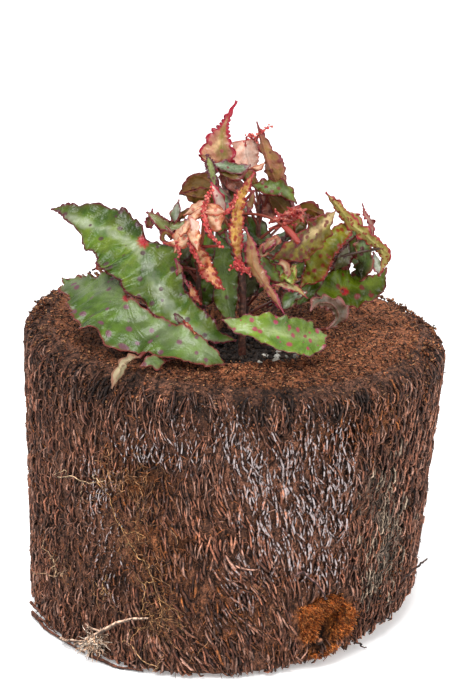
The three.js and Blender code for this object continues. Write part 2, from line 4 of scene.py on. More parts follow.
import bmesh
import bpy
import numpy as np
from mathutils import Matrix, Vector


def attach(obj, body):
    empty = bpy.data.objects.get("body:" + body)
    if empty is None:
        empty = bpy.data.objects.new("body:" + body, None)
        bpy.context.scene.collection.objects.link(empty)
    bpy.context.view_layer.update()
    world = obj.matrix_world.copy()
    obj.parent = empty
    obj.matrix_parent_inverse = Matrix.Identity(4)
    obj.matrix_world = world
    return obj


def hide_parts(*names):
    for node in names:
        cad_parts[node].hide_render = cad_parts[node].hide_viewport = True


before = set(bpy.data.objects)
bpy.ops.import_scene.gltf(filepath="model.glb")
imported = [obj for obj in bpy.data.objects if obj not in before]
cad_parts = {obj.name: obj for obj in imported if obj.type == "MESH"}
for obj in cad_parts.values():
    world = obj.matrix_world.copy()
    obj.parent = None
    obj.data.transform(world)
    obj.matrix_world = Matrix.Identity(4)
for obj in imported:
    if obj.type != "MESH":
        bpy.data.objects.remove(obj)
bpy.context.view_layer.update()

MM = 0.001

# ---------------------------------------------------------------- driving dimensions, as in the part
RADIUS = 74.5  # of the drum at its widest
HEIGHT = 106.0  # at the middle of the sawn top
SHOULDER = 9.0  # rounding of the upper edge
SIDE_TOP = HEIGHT - SHOULDER
ARC = SHOULDER * math.pi / 2  # length of the shoulder's curve
MM_PER_DEGREE = math.radians(RADIUS)
TOP_FALL_RIGHT, TOP_RISE_BACK = 0.06, 0.03
TAPER = 0.14
FOOT_LIFT = (2.0, 7.0)  # height of the base's ragged edge, least and most
FOOT_INSET = 16.0
SCAR = dict(angle=math.radians(-63), height=19.0, radius=11.0, depth=8.0, lip=2.5)
WELL = dict(x=2.0, y=-15.0, radius=28.0)
SOIL_TOP, SOIL_DOME = 98.5, 1.5
NOTCH_SPAN = 0.05
TOOTH_SHARE = 0.05
FULL_WIDTH = 5.0  # half width of a leaf from which its margin waves are full
END_WIDTH = 0.35

# ---------------------------------------------------------------- what dresses it, and how finely
SEEDS = dict(core=3, rim=8, strands=11, side_crumbs=29, fuzz=23, top=31, scar=41, roots=61, ground=5,
             soil=51, fingers=71)
CORE_COLUMNS, CORE_ROWS, TOP_ROWS = 260, 64, 14
CORE_INSET, CORE_LUMPS = 1.0, 0.45  # how far the felt lies inside the part's skin, and its lumps
TOP_INSET, TOP_LUMPS = 0.5, 0.7
PIT_DEPTH, CLEFT_DEPTH, VELVET_RISE, WALL_DEPTH = 3.0, 4.0, 7.5, 8.0
# RIM_SHADE is the strength of the painted shade along the torn edge under the shoulder.
RIM_SHADE, RIM_FADE = 0.5, (5.5, 14.5)  # strength, and reach down the side and further over the front
SCAR_FREE = 1.15  # share of the scar's radius from which strands grow
STRAND_PIECES, STRANDS, STRAND_STEPS = 3, 4050, 5
STRAND_LENGTH, STRAND_RADIUS, STRAND_RISE = (3.0, 9.5), (0.34, 0.85), (-0.9, 0.7)
SWAY, SWAY_LENGTH = (0.05, 0.35), (6, 12)
CURL, END_DIP = 8, 1.3  # the power by which a strand's ends dip and thin, and how deep they dip
STRAY, STRAY_RISE = 0.04, 0.5  # the share of strands that stand off, and how far
FUZZ, FUZZ_SHAPE = 10000, dict(half_length=(0.8, 2.6), bow=0.45, radius=(0.1, 0.24), tail=0.6)
STUBS, STUB_SHAPE = 4000, dict(half_length=(0.3, 0.9), bow=0.3, radius=(0.16, 0.36), tail=0.7)
HAIRS, HAIR_RADII = 2700, (0.24, 0.2, 0.08)
SIDE_CRUMBS, TOP_CRUMBS, SOIL_CRUMBS, GRIT = 3400, 4600, 1500, 34
GRAINS = dict(side=(0.2, 0.6), top=(0.2, 0.55), pile=(0.4, 0.8), soil=(0.35, 1.1), grit=(0.5, 1.7))
PILES, PILE_CRUMBS, PILE_RISE = 60, 7, 1.7
SOIL_COLUMNS, SOIL_ROWS, SOIL_INSET, SOIL_LUMPS = 90, 16, 0.4, 0.7
STEM_STEPS, STALK_STEPS, FINGER_STEPS = 60, 24, 14
LEAF_ROWS, LEAF_CELLS = 24, 5  # the least number along a leaf and across each half of it
CELL, CELL_ACROSS, FINEST_CELL, CELLS_PER_TOOTH = 0.6, 0.95, 0.34, 5
CHAIN_STEP = 0.75  # between the beads of a beaded shoot
VEINS = 9

# ---------------------------------------------------------------- the plant's pieces
# Stems: the middle line from inside the soil to the growing tip, and the radius.
STEMS = {
    "stem_main": ([(3, -21, 84), (3, -22, 108), (3, -22, 128), (0, -17, 146), (-3, -13, 160)], 1.3),
    "stem_right": ([(9, -13, 84), (12, -12, 106), (17, -14, 122), (21, -16, 134)], 1.1),
    "stem_left": ([(-5, -17, 84), (-8, -18, 106), (-12, -21, 124), (-11, -26, 142)], 1.0),
    "stem_back": ([(3, -5, 84), (4, -3, 108), (8, -2, 128), (9, -4, 150)], 1.1),
}
# The ways that leaves look.
FRONT, FRONT_UP, BACK, BACK_UP = (0, -0.95, 0.2), (0, -0.8, 0.6), (0, 0.9, 0.2), (0, 0.9, 0.3)


def blade(look, stem, *rows, **shape):
    """A leaf, bract or young shoot: one of LOOKS, the stem that it comes from and the share of that
    stem's height, or None for one without a petiole, and the midrib's points from the tail to the main
    tip. A point is followed by the blade's half widths to its left and right, by one for both, or by
    none where the blade ends.
    face is the way the upper side looks, heart the share of the midrib at which the petiole joins,
    notch the depth of the right margin's bay there, fold how far the sides bend up in degrees, ruffle
    and waves the height and number of the margin's waves, petiole its radius and via its bend."""
    plain = dict(face=FRONT_UP, heart=0.03, notch=0, fold=8, ruffle=0.5, waves=5, petiole=0.5, via=None)
    spine = [row[:3] + (row[3:] * 2 or (0, 0))[:2] for row in rows]
    return {**plain, **shape, "look": look, "stem": stem, "spine": spine}


LEAVES = {
    "leaf_left_upper": blade("satin", ("left", 0.75), (1, -36, 110), (-6, -39, 113, 3, 2.5),
        (-12, -38, 117, 5, 4.5), (-18, -35, 121, 7, 5), (-23, -30, 128, 11, 6), (-27, -26, 135, 15, 9),
        (-31, -22, 141, 17, 7), (-38, -17, 144, 15, 6), (-46, -12, 146, 10.5, 6), (-57, -6, 148, 3, 2.6),
        (-64, -3, 148), face=(-0.1, -0.75, 0.65), heart=0.6, notch=0.8, waves=9, petiole=0.8,
        via=(-22, -13, 134)),
    "leaf_left_lower": blade("pale_spotted", ("left", 0.5), (-3, -50, 106), (-8, -52, 110, 4, 3.5),
        (-16, -50, 114, 8.5, 4.5), (-23, -44, 116, 11, 3.5), (-30, -39, 118, 14.5, 3.5),
        (-37, -32, 124, 18, 4), (-44, -24, 125, 15, 6), (-50, -15, 123, 10, 5), (-56, -7, 122, 5, 3),
        (-61, 0, 122), face=(-0.1, -0.7, 0.7), heart=0.55, notch=0.75, ruffle=1.0, waves=9, petiole=0.8,
        via=(-24, -24, 114)),
    "leaf_front": blade("pink_spotted", ("right", 0.45), (32, -36, 112), (28, -40, 112, 4.5, 5),
        (23, -44, 114, 7.5, 6.5), (17, -48, 116, 6.5), (10, -49, 118, 5, 5.5), (2, -48, 119, 2.5, 3.5),
        (-4, -44, 120), heart=0.3, ruffle=0.8, waves=7, petiole=0.8, via=(20, -36, 110)),
    "leaf_front_curl": blade("grey_pink", ("right", 0.42), (32, -30, 112), (36, -28, 116, 3, 1.5),
        (34, -30, 121, 3, 2), (29, -34, 123, 2.5, 1.5), (26, -37, 121), face=BACK, waves=6,
        via=(24, -22, 108)),
    "leaf_right_lower": blade("red_spotted", ("right", 0.55), (25, -14, 123), (32, -10, 121, 5.5, 5),
        (39, -6, 119, 9, 6.5), (45, -3, 119, 6, 6.5), (50, 1, 120, 3, 4.5), (55, 7, 124), heart=0.4,
        ruffle=0.9, waves=6, petiole=0.8, via=(28, -6, 116)),
    "leaf_right_mid": blade("yellow_green", ("right", 0.75), (23, -22, 125), (27, -20, 129, 3.5, 4),
        (31, -17, 136, 4, 4.5), (36, -12, 141, 3.5, 4), (43, -6, 144), heart=0.3, ruffle=0.8, waves=6,
        via=(24, -12, 130)),
    "leaf_right_spotted": blade("cream", ("main", 0.8), (13, -33, 138), (17, -32, 140, 4, 2),
        (22, -30, 143, 8, 3), (28, -26, 146, 7, 4.5), (32, -23, 149, 3.5, 3), (35, -21, 152),
        face=BACK, heart=0.4, ruffle=0.8, waves=6, petiole=0.45, via=(14, -32, 156)),
    "leaf_right_arch": blade("arch", ("right", 0.9), (51, -8, 125), (53, -10, 133, 2, 1.5),
        (48, -12, 139, 2), (41, -11, 145, 2), (36, -9, 151, 1.5), (32, -7, 155), face=(0.3, 0.9, 0.3),
        heart=0.3, waves=8, via=(36, -8, 132)),
    "leaf_right_cup": blade("blue_green", ("right", 0.6), (46, 2, 124), (45, 4, 128, 4, 3.5),
        (44, 6, 132, 5, 4.5), (43, 8, 137, 4, 3.5), (41, 9, 141), face=(-0.2, -0.95, 0.2), fold=20,
        via=(32, 4, 116)),
    "leaf_right_tiny": blade("pink_tip", ("right", 0.7), (50, 8, 134), (49, 9, 140, 1.5, 2),
        (47, 10, 143, 1), (46, 10, 147), waves=4, via=(40, 12, 118)),
    "leaf_top": blade("blush", ("main", 0.97), (-5, -10, 163, 3, 1.5), (-4, -10, 168, 8.3, 4.3),
        (-4, -9, 174, 5.2, 2.8), (-3, -8, 178, 2.1, 1.2), (-1.8, -7, 181.5, 1.1, 0.7), (1, -6, 187),
        face=FRONT, ruffle=0.6, waves=8),
    "bract_top": blade("fan", ("back", 0.98), (7, -3, 161, 1), (5, -2, 166, 5, 4), (4, 0, 172, 4.5),
        face=FRONT, ruffle=0.4, waves=4),
    "leaf_top_right": blade("olive_pink", ("back", 0.95), (17, -4, 154, 2), (14, -5, 160, 5, 4),
        (12, -5, 165, 4.5, 2), (10, -4, 172, 2.5, 1.8), (8, -2, 179), face=(0.3, 0.9, 0.1), heart=0.1,
        fold=25, waves=7),
    "leaf_green_top_right": blade("purple_spotted", ("back", 0.9), (6, -8, 158), (11, -11, 158, 2.5, 3),
        (17, -12, 157, 3), (22, -11, 152), heart=0.35, via=(12, -7, 151)),
    "leaf_brown_under": blade("red_brown", ("back", 0.95), (8, 2, 146), (12, 1, 148, 3), (17, 2, 148, 3),
        (23, 4, 145), face=BACK_UP, heart=0.1),
    "leaf_grey_green": blade("grey_green", ("main", 0.95), (-8, -15, 167), (-3, -15, 166, 2),
        (2, -14, 165, 2), (6, -13, 166), heart=0.4),
    "leaf_brown_centre": blade("red_brown", ("back", 0.88), (3, -6, 154), (-1, -6, 157, 2.5),
        (-5, -6, 160), face=BACK_UP, waves=4),
    "leaf_olive_left": blade("olive", ("main", 0.85), (-5, -10, 157, 2), (-9, -8, 157, 6),
        (-14, -6, 156, 4.5), (-19, -5, 154), face=BACK, ruffle=0.3),
    "leaf_grey_left": blade("silver", ("left", 0.8), (-19, -11, 144), (-20, -10, 148, 2), (-19, -9, 153),
        waves=4),
    "leaf_olive_small": blade("olive", ("left", 0.85), (-20, -13, 146), (-17, -13, 149, 2, 1.5),
        (-14, -13, 151), face=BACK, waves=4),
    "leaf_curly_left": blade("pink_green", ("left", 0.9), (-14, -17, 145), (-19, -18, 144, 2, 1.5),
        (-23, -18, 145, 2, 2.5), (-27, -17, 148, 1.5, 2), (-30, -15, 150), waves=7),
    "leaf_narrow_toothed": blade("dark_beaded", ("main", 0.88), (-6, -22, 159), (-7, -21, 164, 1.5),
        (-8, -20, 168, 1.5), (-9, -19, 171)),
    "bract_pale": blade("pale_pink", ("main", 0.74), (-4, -27, 152), (-5, -26, 157, 1.5), (-7, -25, 162),
        waves=4),
    "shoot_red": blade("coral", ("left", 0.97), (-4, -36, 143), (-8, -37, 148, 1.5), (-10, -35, 155, 1.5),
        (-9, -33, 159, 1), (-7, -31, 162), waves=8),
    "leaf_orange": blade("orange", ("main", 0.6), (3, -37, 136), (1, -37, 144, 2), (1, -36, 152, 2.5),
        (2, -34, 158, 2.5), (4, -31, 162, 2, 1.5), (7, -28, 167), face=FRONT, waves=9),
    "leaf_beige_hanging": blade("beige_pink", ("main", 0.77), (4, -36, 150), (6, -38, 144, 2, 1.5),
        (7, -39, 137, 2.5), (12, -42, 130, 2, 1.5), (17, -44, 122), face=(0, 0.9, 0.1), waves=8),
    "bract_upper": blade("peach", ("main", 0.66), (-3, -31, 152), (-7, -32, 154, 2.5), (-11, -32, 154, 2),
        (-15, -32, 151), waves=4),
    "bract_fold": blade("peach", ("left", 0.95), (-8, -26, 157), (-12, -27, 155, 2.5, 2), (-17, -28, 152),
        waves=4),
    "bract_middle": blade("peach", ("left", 0.99), (-13, -38, 152), (-13, -40, 148, 2.5), (-12, -41, 143),
        waves=4),
    "bract_left": blade("peach", ("left", 0.93), (-16, -28, 150), (-18, -31, 146, 2.5), (-20, -32, 140),
        waves=4),
    "leaf_yellow_red": blade("yellow_red", ("left", 0.84), (-14, -29, 144), (-12, -31, 140, 2.5),
        (-9, -34, 135, 2.5), (-6, -37, 131, 1.5), (-3, -39, 129), waves=8),
    "leaf_dark_left": blade("dark_olive", ("left", 0.7), (-12, -14, 135), (-16, -15, 132, 3),
        (-19, -15, 127, 3), (-22, -14, 124), face=BACK, waves=4),
    "leaf_yellow_small": blade("yellow_red", ("left", 0.6), (-11, -30, 121), (-14, -30, 125, 1.5),
        (-15, -29, 129), waves=4),
    "leaf_centre_green": blade("deep", ("main", 0.3), (0, -26, 112), (-2, -25, 120, 4),
        (-3, -22, 129, 4.5), (-4, -18, 137, 3.5), (-6, -14, 143), waves=6),
    "leaf_centre_right": blade("satin", ("back", 0.78), (3, -2, 146), (7, -2, 141, 4, 3.5),
        (11, -2, 137, 3), (15, -1, 133), waves=4),
    "shoot_right": blade("coral", ("right", 0.97), (21, -26, 148), (17, -25, 150, 1.5), (14, -24, 153),
        waves=4),
    "leaf_back_right": blade("red_brown", ("back", 0.75), (19, 8, 142), (25, 10, 143, 2.5, 3),
        (30, 12, 141, 2.5), (34, 14, 137), face=BACK_UP),
    "leaf_rolled": blade("beige_pink", ("right", 0.92), (10, -35, 141), (12, -35, 144, 1.5),
        (15, -34, 146), waves=4),
    "leaf_small_green": blade("purple_spotted", ("right", 0.84), (8, -28, 139), (10, -30, 136, 2.5),
        (13, -31, 132, 2.5, 2), (17, -32, 129), waves=4),
    "leaf_crinkled": blade("crinkled", ("right", 0.8), (18, -33, 128), (18, -34, 132, 2), (20, -34, 136),
        waves=4),
    "leaf_low_right": blade("purple_spotted", ("right", 0.65), (18, -30, 120), (20, -30, 123, 2.5),
        (23, -29, 127), waves=4),
    "leaf_red_tip": blade("toothed", ("right", 0.72), (13, -37, 130), (17, -37, 130, 1.5),
        (21, -38, 129, 1.5), (25, -39, 126), waves=4),
    "leaf_dry": blade("dry", ("left", 0.45), (-31, -54, 110), (-35, -58, 110, 1.5),
        (-38, -62, 107, 1.5, 2), (-40, -66, 103), face=BACK, via=(-24, -36, 112)),
    "leaf_under_dry": blade("pale_spotted", ("left", 0.38), (-22, -52, 108), (-27, -55, 109, 3, 2),
        (-31, -58, 108), waves=4, via=(-12, -40, 108)),
    "leaf_back_left": blade("satin", ("back", 0.4), (-8, 4, 119), (-18, 12, 126, 8, 9), (-30, 19, 127, 8),
        (-42, 23, 123, 4), (-52, 25, 118), face=(-0.1, 0.5, 0.9), heart=0.3, ruffle=1.1, waves=8),
    "leaf_back_middle": blade("pale_spotted", ("back", 0.6), (3, 6, 122), (4, 15, 130, 8, 7),
        (3, 27, 131, 7), (0, 38, 126, 3, 4), (-2, 46, 119), face=(0, 0.5, 0.9), heart=0.25, ruffle=1.1,
        waves=8),
    "leaf_back_low": blade("red_spotted", ("back", 0.35), (12, 4, 110), (22, 13, 114, 6, 7),
        (33, 22, 114, 6), (45, 30, 110), face=(0.2, 0.4, 0.9), heart=0.3, ruffle=1, waves=7),
    "leaf_back_high": blade("olive", ("back", 0.7), (4, 2, 140), (1, 10, 146, 5), (-5, 18, 146, 4),
        (-12, 24, 142), face=(-0.1, 0.5, 0.9), heart=0.2, ruffle=0.7, waves=6),
}
# Small leaves, bracts and beaded shoots in the crowd. They belong to the solid named first.
SMALL_LEAVES = [
    ("leaf_centre_green", blade("deep", ("back", 0.6), (-10, 2, 139), (-8, 2, 143, 4), (-5, 2, 147, 4),
        (-2, 2, 150))),
    ("bract_fold", blade("peach", ("left", 0.97), (-9, -33, 157, 1), (-14, -36, 153, 1.5, 1.3),
        (-16, -37, 150, 1.4, 1.2), (-18, -37, 147))),
    ("bract_upper", blade("peach", ("left", 0.98), (-10, -32, 156.5, 2.4, 2), (-7, -34, 154, 3.8, 3.6),
        (-5, -35, 150, 2), (-4, -35, 149))),
    ("bract_upper", blade("peach", None, (-12, -35, 153), (-9, -35, 155.2, 1), (-5, -35, 155.4, 1.2),
        (-2, -33, 154.4))),
    ("bract_middle", blade("fan", ("left", 0.98), (-15, -37, 154), (-13, -39, 151, 1.8, 1.5),
        (-13, -39, 148))),
    ("bract_left", blade("peach", None, (-22, -33, 144), (-18, -36, 145, 2.6, 2.2), (-15, -35, 147, 2),
        (-13, -33, 148))),
    ("bract_left", blade("coral", None, (-19, -36, 145, 1), (-18.5, -37, 143, 1.6, 1.4),
        (-18, -37, 140))),
    ("bract_left", blade("orange", None, (-24, -30, 143), (-21, -32, 143, 0.9), (-18, -33, 144))),
    ("leaf_dark_left", blade("olive", None, (-22, -26, 142), (-24, -26, 143, 0.8, 0.7),
        (-24, -26, 144.6, 0.8), (-22.8, -27, 145.6, 0.8), (-21.4, -27, 144.6, 0.7, 0.6),
        (-21.4, -26, 143))),
    ("leaf_orange", blade("coral", None, (-1, -38, 136), (2, -40, 138, 2), (4, -40, 136, 2),
        (6, -38, 134))),
    ("leaf_orange", blade("coral", None, (1, -39, 140), (1, -40, 138, 2), (3, -40, 135))),
    ("leaf_orange", blade("coral", None, (-5, -33, 153), (-2, -35, 155, 1.5), (0, -36, 158, 1.5),
        (1, -36, 161))),
    ("leaf_grey_left", blade("grey_green", None, (-3, -30, 147), (-1, -31, 144, 1.3, 1.2),
        (0, -31, 141))),
    ("leaf_beige_hanging", blade("beige_pink", ("main", 0.8), (7, -20, 159), (6, -21, 155, 1.7),
        (5, -22, 151))),
    ("leaf_brown_under", blade("red_brown", ("back", 0.92), (9, -4, 154), (12, -6, 150, 3, 3.4),
        (13, -6, 147, 2.5, 2), (14, -6, 145), ruffle=0.9, waves=9)),
    ("leaf_brown_under", blade("olive", ("back", 0.88), (12, -8, 155), (14, -8, 153, 3),
        (17, -9, 150, 4, 3.5), (20, -9, 147, 2.5), (22, -9, 145), face=BACK_UP)),
    ("leaf_back_right", blade("olive", ("back", 0.8), (21, -4, 147), (25, -6, 149, 2.5),
        (30, -6, 147, 2.5, 2), (33, -5, 144), face=BACK_UP)),
    ("leaf_rolled", blade("rolled", ("right", 0.9), (6.5, -33, 137, 1.4), (10.5, -34, 140.5, 2.2),
        (14.5, -34, 144, 2), (16, -34, 145, 1.4))),
    ("leaf_crinkled", blade("rolled", None, (15, -36, 137), (17, -37, 137, 1.4, 1.2), (18, -37, 134, 1.2),
        (17, -36, 131))),
    ("leaf_crinkled", blade("crinkled", ("right", 0.7), (18, -36, 130), (19, -37, 133, 2.6),
        (21, -37, 137))),
    ("leaf_low_right", blade("glossy", ("right", 0.6), (17, -34, 120), (19, -35, 124, 2.6),
        (22, -35, 126, 2), (25, -35, 127))),
    ("leaf_small_green", blade("deep", ("right", 0.75), (6, -24, 136), (10, -26, 134, 3),
        (15, -27, 131, 3.2, 3), (20, -27, 127))),
    ("leaf_centre_right", blade("dark_olive", ("back", 0.45), (3, -12, 116), (5, -12, 122, 4),
        (8, -12, 129, 4), (10, -11, 135))),
    ("leaf_centre_right", blade("deep", ("back", 0.4), (8, -6, 117), (12, -5, 124, 5, 4),
        (16, -5, 130, 4), (20, -4, 136))),
    ("leaf_dark_left", blade("deep", ("left", 0.5), (-15, -18, 115), (-12, -19, 120, 4),
        (-9, -20, 125, 3.5), (-6, -20, 130))),
    ("leaf_dark_left", blade("dark_olive", ("left", 0.45), (-20, -10, 115), (-18, -11, 121, 4),
        (-16, -12, 128, 4), (-15, -12, 133))),
    ("leaf_left_upper", blade("beige_pink", None, (-20, -28, 137), (-18.5, -29, 134, 1),
        (-18, -29, 131, 1.2, 1), (-15, -30, 127))),
    ("leaf_right_cup", blade("red_brown", ("right", 0.7), (36, 0, 123), (37, -1, 127, 3.4, 3),
        (39, -1, 132, 3.4, 3), (42, 0, 137), face=(0.3, -0.9, 0.2))),
    ("leaf_grey_green", blade("olive", None, (-6, -13, 166), (-3, -15, 163.5, 1.6, 1.4),
        (1, -15, 162.5, 1.6, 1.4), (5, -14, 164.5))),
    ("bract_top", blade("orange", None, (5, -1, 170), (8, -1, 170, 1.1), (11, -1, 167))),
    ("bract_top", blade("coral", None, (8, -2, 172), (9, -3, 175, 0.9), (11, -3, 176.6, 0.9),
        (13, -2, 177.4))),
    ("bract_top", blade("coral", None, (4, -2, 171), (5, -3, 174, 1), (7, -3, 174, 1), (7.5, -2, 172))),
    ("bract_top", blade("peach", None, (6, -4, 163), (8.5, -5, 163.5, 1.3), (11, -4, 165))),
    ("bract_pale", blade("pale_pink", None, (-3, -29, 151), (-4.4, -28, 156, 2), (-6.4, -27, 160.5, 1),
        (-7.6, -26, 163))),
    ("bract_pale", blade("grey_green", ("main", 0.8), (-5, -18, 160), (-4, -19, 157, 1.7),
        (-2, -19, 153, 1.5), (-1, -19, 151))),
    ("leaf_brown_centre", blade("red_brown", ("main", 0.93), (-5, -12, 162), (-2, -13, 160, 2.8),
        (1, -13, 158, 2.4), (3, -12, 156))),
    ("leaf_curly_left", blade("pink_green", ("left", 0.9), (-28, -15, 149), (-25, -17, 146.5, 2),
        (-21, -18, 145, 2.4, 2), (-17, -18, 146, 2.2, 2), (-13, -17, 149))),
    ("leaf_curly_left", blade("beige_pink", None, (-29, -14, 144, 1), (-28.5, -14, 147, 1.6),
        (-28, -14, 151))),
    ("leaf_back_left", blade("yellow_red", ("left", 0.6), (-47, -13, 134), (-47, -14, 130, 1.2, 1),
        (-45, -15, 127))),
    ("leaf_olive_left", blade("olive", ("main", 0.82), (-4, -9, 153, 2), (-8, -8, 153.5, 3.6),
        (-13, -7, 153.5, 3), (-18, -6, 154.5), face=BACK)),
    ("leaf_right_arch", blade("arch", None, (39, -10, 149), (41, -10, 147, 1.8, 1.6),
        (43, -10, 144.5, 2, 1.8), (46, -10, 141), face=(0.3, -0.9, 0.3))),
    ("shoot_right", blade("olive", None, (18, -20, 142.5), (20.5, -20, 145, 3.4, 3.2),
        (23, -19, 147.5, 3.4, 3.2), (26, -19, 150))),
    ("shoot_right", blade("red_petal", None, (16, -28, 152), (19, -29, 153.5, 1.6), (22, -28, 154, 1.8),
        (24, -27, 152))),
    ("shoot_right", blade("red_petal", None, (24, -27, 149), (23, -28, 151, 1.4), (21, -29, 153, 1.4),
        (18, -28, 155))),
    ("shoot_right", blade("red_petal", None, (12, -27, 149), (14, -28, 150.5, 1.5, 1.3),
        (17, -28, 151, 1.5), (20, -28, 150))),
    ("leaf_centre_right", blade("grey_green", ("right", 0.95), (12, -18, 139), (15, -18, 141, 2),
        (18, -18, 142, 2.4), (22, -18, 143))),
    ("leaf_centre_right", blade("dark_olive", ("right", 0.9), (10, -19, 134), (13, -19, 137, 3.2, 3),
        (15, -19, 139.5, 3), (18, -19, 142))),
    ("leaf_low_right", blade("deep", ("right", 0.8), (20, -19, 127), (22, -19, 130, 2.6),
        (25, -19, 133.5))),
    ("leaf_right_cup", blade("blue_green", ("right", 0.6), (43, 4, 118), (45, 0, 123.5, 3.4, 3.2),
        (46, -8, 130, 3.6, 3.4), (45.5, -10, 136, 3, 2.8), (45, -9, 140), face=(-0.2, -0.8, 0.5),
        via=(34, 4, 114))),
    ("leaf_right_cup", blade("dark_olive", ("right", 0.65), (36, -4, 126), (37.5, -9, 129.5, 2.6, 2.4),
        (39, -10, 133, 2.6, 2.4), (40, -9, 137), face=(0.3, -0.9, 0.2), via=(32, 4, 116))),
    ("leaf_top_right", blade("olive", ("back", 0.95), (3, -6, 164), (4.5, -6, 161.6, 2),
        (6.5, -6, 159, 2), (8, -6, 156))),
    ("leaf_right_arch", blade("silver", None, (49, -8, 134), (50, -8.5, 131, 1.6),
        (51, -8.5, 128, 1.6, 1.5), (51.5, -8, 125))),
    ("leaf_left_upper", blade("yellow_red", None, (-17, -42, 119), (-15.4, -42.4, 117.4, 1),
        (-14, -43, 115.6, 1), (-11, -43, 113))),
    ("leaf_left_upper", blade("dark_olive", None, (-20, -40, 121), (-18.6, -41, 119.6, 1.1),
        (-17, -42, 118, 1, 0.8), (-15, -42.4, 116.6))),
    ("leaf_yellow_red", blade("coral", None, (-15, -36, 146), (-14, -37, 143, 1.2),
        (-12.5, -37, 139.5, 1.2), (-10.5, -37, 136.5))),
    ("leaf_dark_left", blade("dark_olive", ("left", 0.8), (-22, -21, 133), (-19, -22, 136, 3),
        (-16, -22, 139, 3), (-13, -22, 141))),
    ("leaf_brown_centre", blade("olive", ("main", 0.9), (-4, -12, 159), (-1, -12, 157, 2.4),
        (1, -12, 154.5, 2.4), (2, -12, 151))),
    ("leaf_centre_green", blade("purple_spotted", ("main", 0.75), (-5, -16, 142), (-4, -16, 145, 2.6),
        (-3, -16, 148, 2.6), (-2, -15, 151))),
    ("leaf_centre_right", blade("deep", ("right", 0.5), (17, -11, 122), (19, -11, 127, 4, 3.4),
        (22, -11, 131, 4, 3.4), (25, -11, 136))),
    ("leaf_right_cup", blade("purple_spotted", ("right", 0.75), (38, -3, 127), (40, -4, 131, 2.6, 2.2),
        (42, -5, 135, 2.4, 2), (43, -5, 139), face=(0.1, -0.95, 0.2))),
    ("leaf_centre_green", blade("deep", ("left", 0.8), (-14, -21, 130), (-11, -21, 135, 4, 3.4),
        (-9, -21, 140, 3.6, 3), (-7, -20, 145))),
    ("leaf_dark_left", blade("olive", ("left", 0.7), (-15, -21, 131), (-19, -21, 133, 3),
        (-23, -20, 136, 3, 2.6), (-26, -19, 139))),
    ("leaf_right_mid", blade("deep", ("right", 0.6), (22, -20, 117), (25, -19, 122, 3.4),
        (29, -16, 128, 3), (32, -14, 133))),
]
# Red finger-like shoots at the right, each from the same bud: the tips and the radius.
FINGER_BUD = (21, -24, 150)
FINGERS = [(12, -27, 147, 0.6), (13, -26, 149, 0.6), (14, -28, 151, 0.7), (22, -25, 154, 0.6),
           (14, -29, 147.5, 0.6), (19, -30, 153, 0.6), (25, -23, 153, 0.6), (17, -31, 150, 0.9)]
STALK_SWELL = (16, 1.15)  # the spotted leaf's stalk is thick and red from this step on: step, radius


def skin(colours, **traits):
    """How a leaf looks. The colours are those of its upper side, the patches on it, its under side, the
    sheen, the spots, the margin and the joint, and stalk is the petiole's. slot is the frame's slot that
    the leaf fills, rough the skin's roughness. sheen is the pale band along the midrib, a painted highlight
    with some of the leaf's own pale colour, its half width and strength, sheen_left how far it lies left of
    the midrib and sheen_from where it starts; veins is how clearly the veins show; spots are their radius
    and spacing; margin is the edge's width and bead radius; joint is the radius of the patch over the
    petiole; teeth are the spacing and depth of the margin's teeth and how far they hook towards the tip,
    scallop makes them round, lobes is the depth of the margin's uneven lobes; frill is the length and
    height of its small waves; beads is the radius of the red glands on the teeth, chain that of beads along
    the midrib, cup how far the sides bend up, crumple the height of small dents, ribs that of the quilting,
    narrow the share of the width that is left, thick the blade's thickness, both says that the under side
    is painted like the upper, patch is the size of its patches, right_shade a painted shade on the colour
    right of the midrib and shade one on all colours, gloss the specular level and glow the share of light
    that shines through."""
    plain = dict(
        slot="leaf_green", sheen=(2.8, 0.6), sheen_left=0.0, sheen_from=-99.0, spots=(0.9, 6.6),
        margin=(0.25, 0.16), joint=1.5, teeth=(2.2, 0.45, 0.2), scallop=False, lobes=0.5, frill=(3.8, 0.8),
        beads=0.0, chain=0.0, narrow=1.0, cup=0.0, crumple=0.0, ribs=0.2, veins=0.06, thick=0.5, both=False,
        patch=8.0, right_shade=1.0, shade=0.62, stalk="94483a", rough=0.27, gloss=0.45, glow=0.08)
    return {**plain, **traits, "colours": colours.split()}


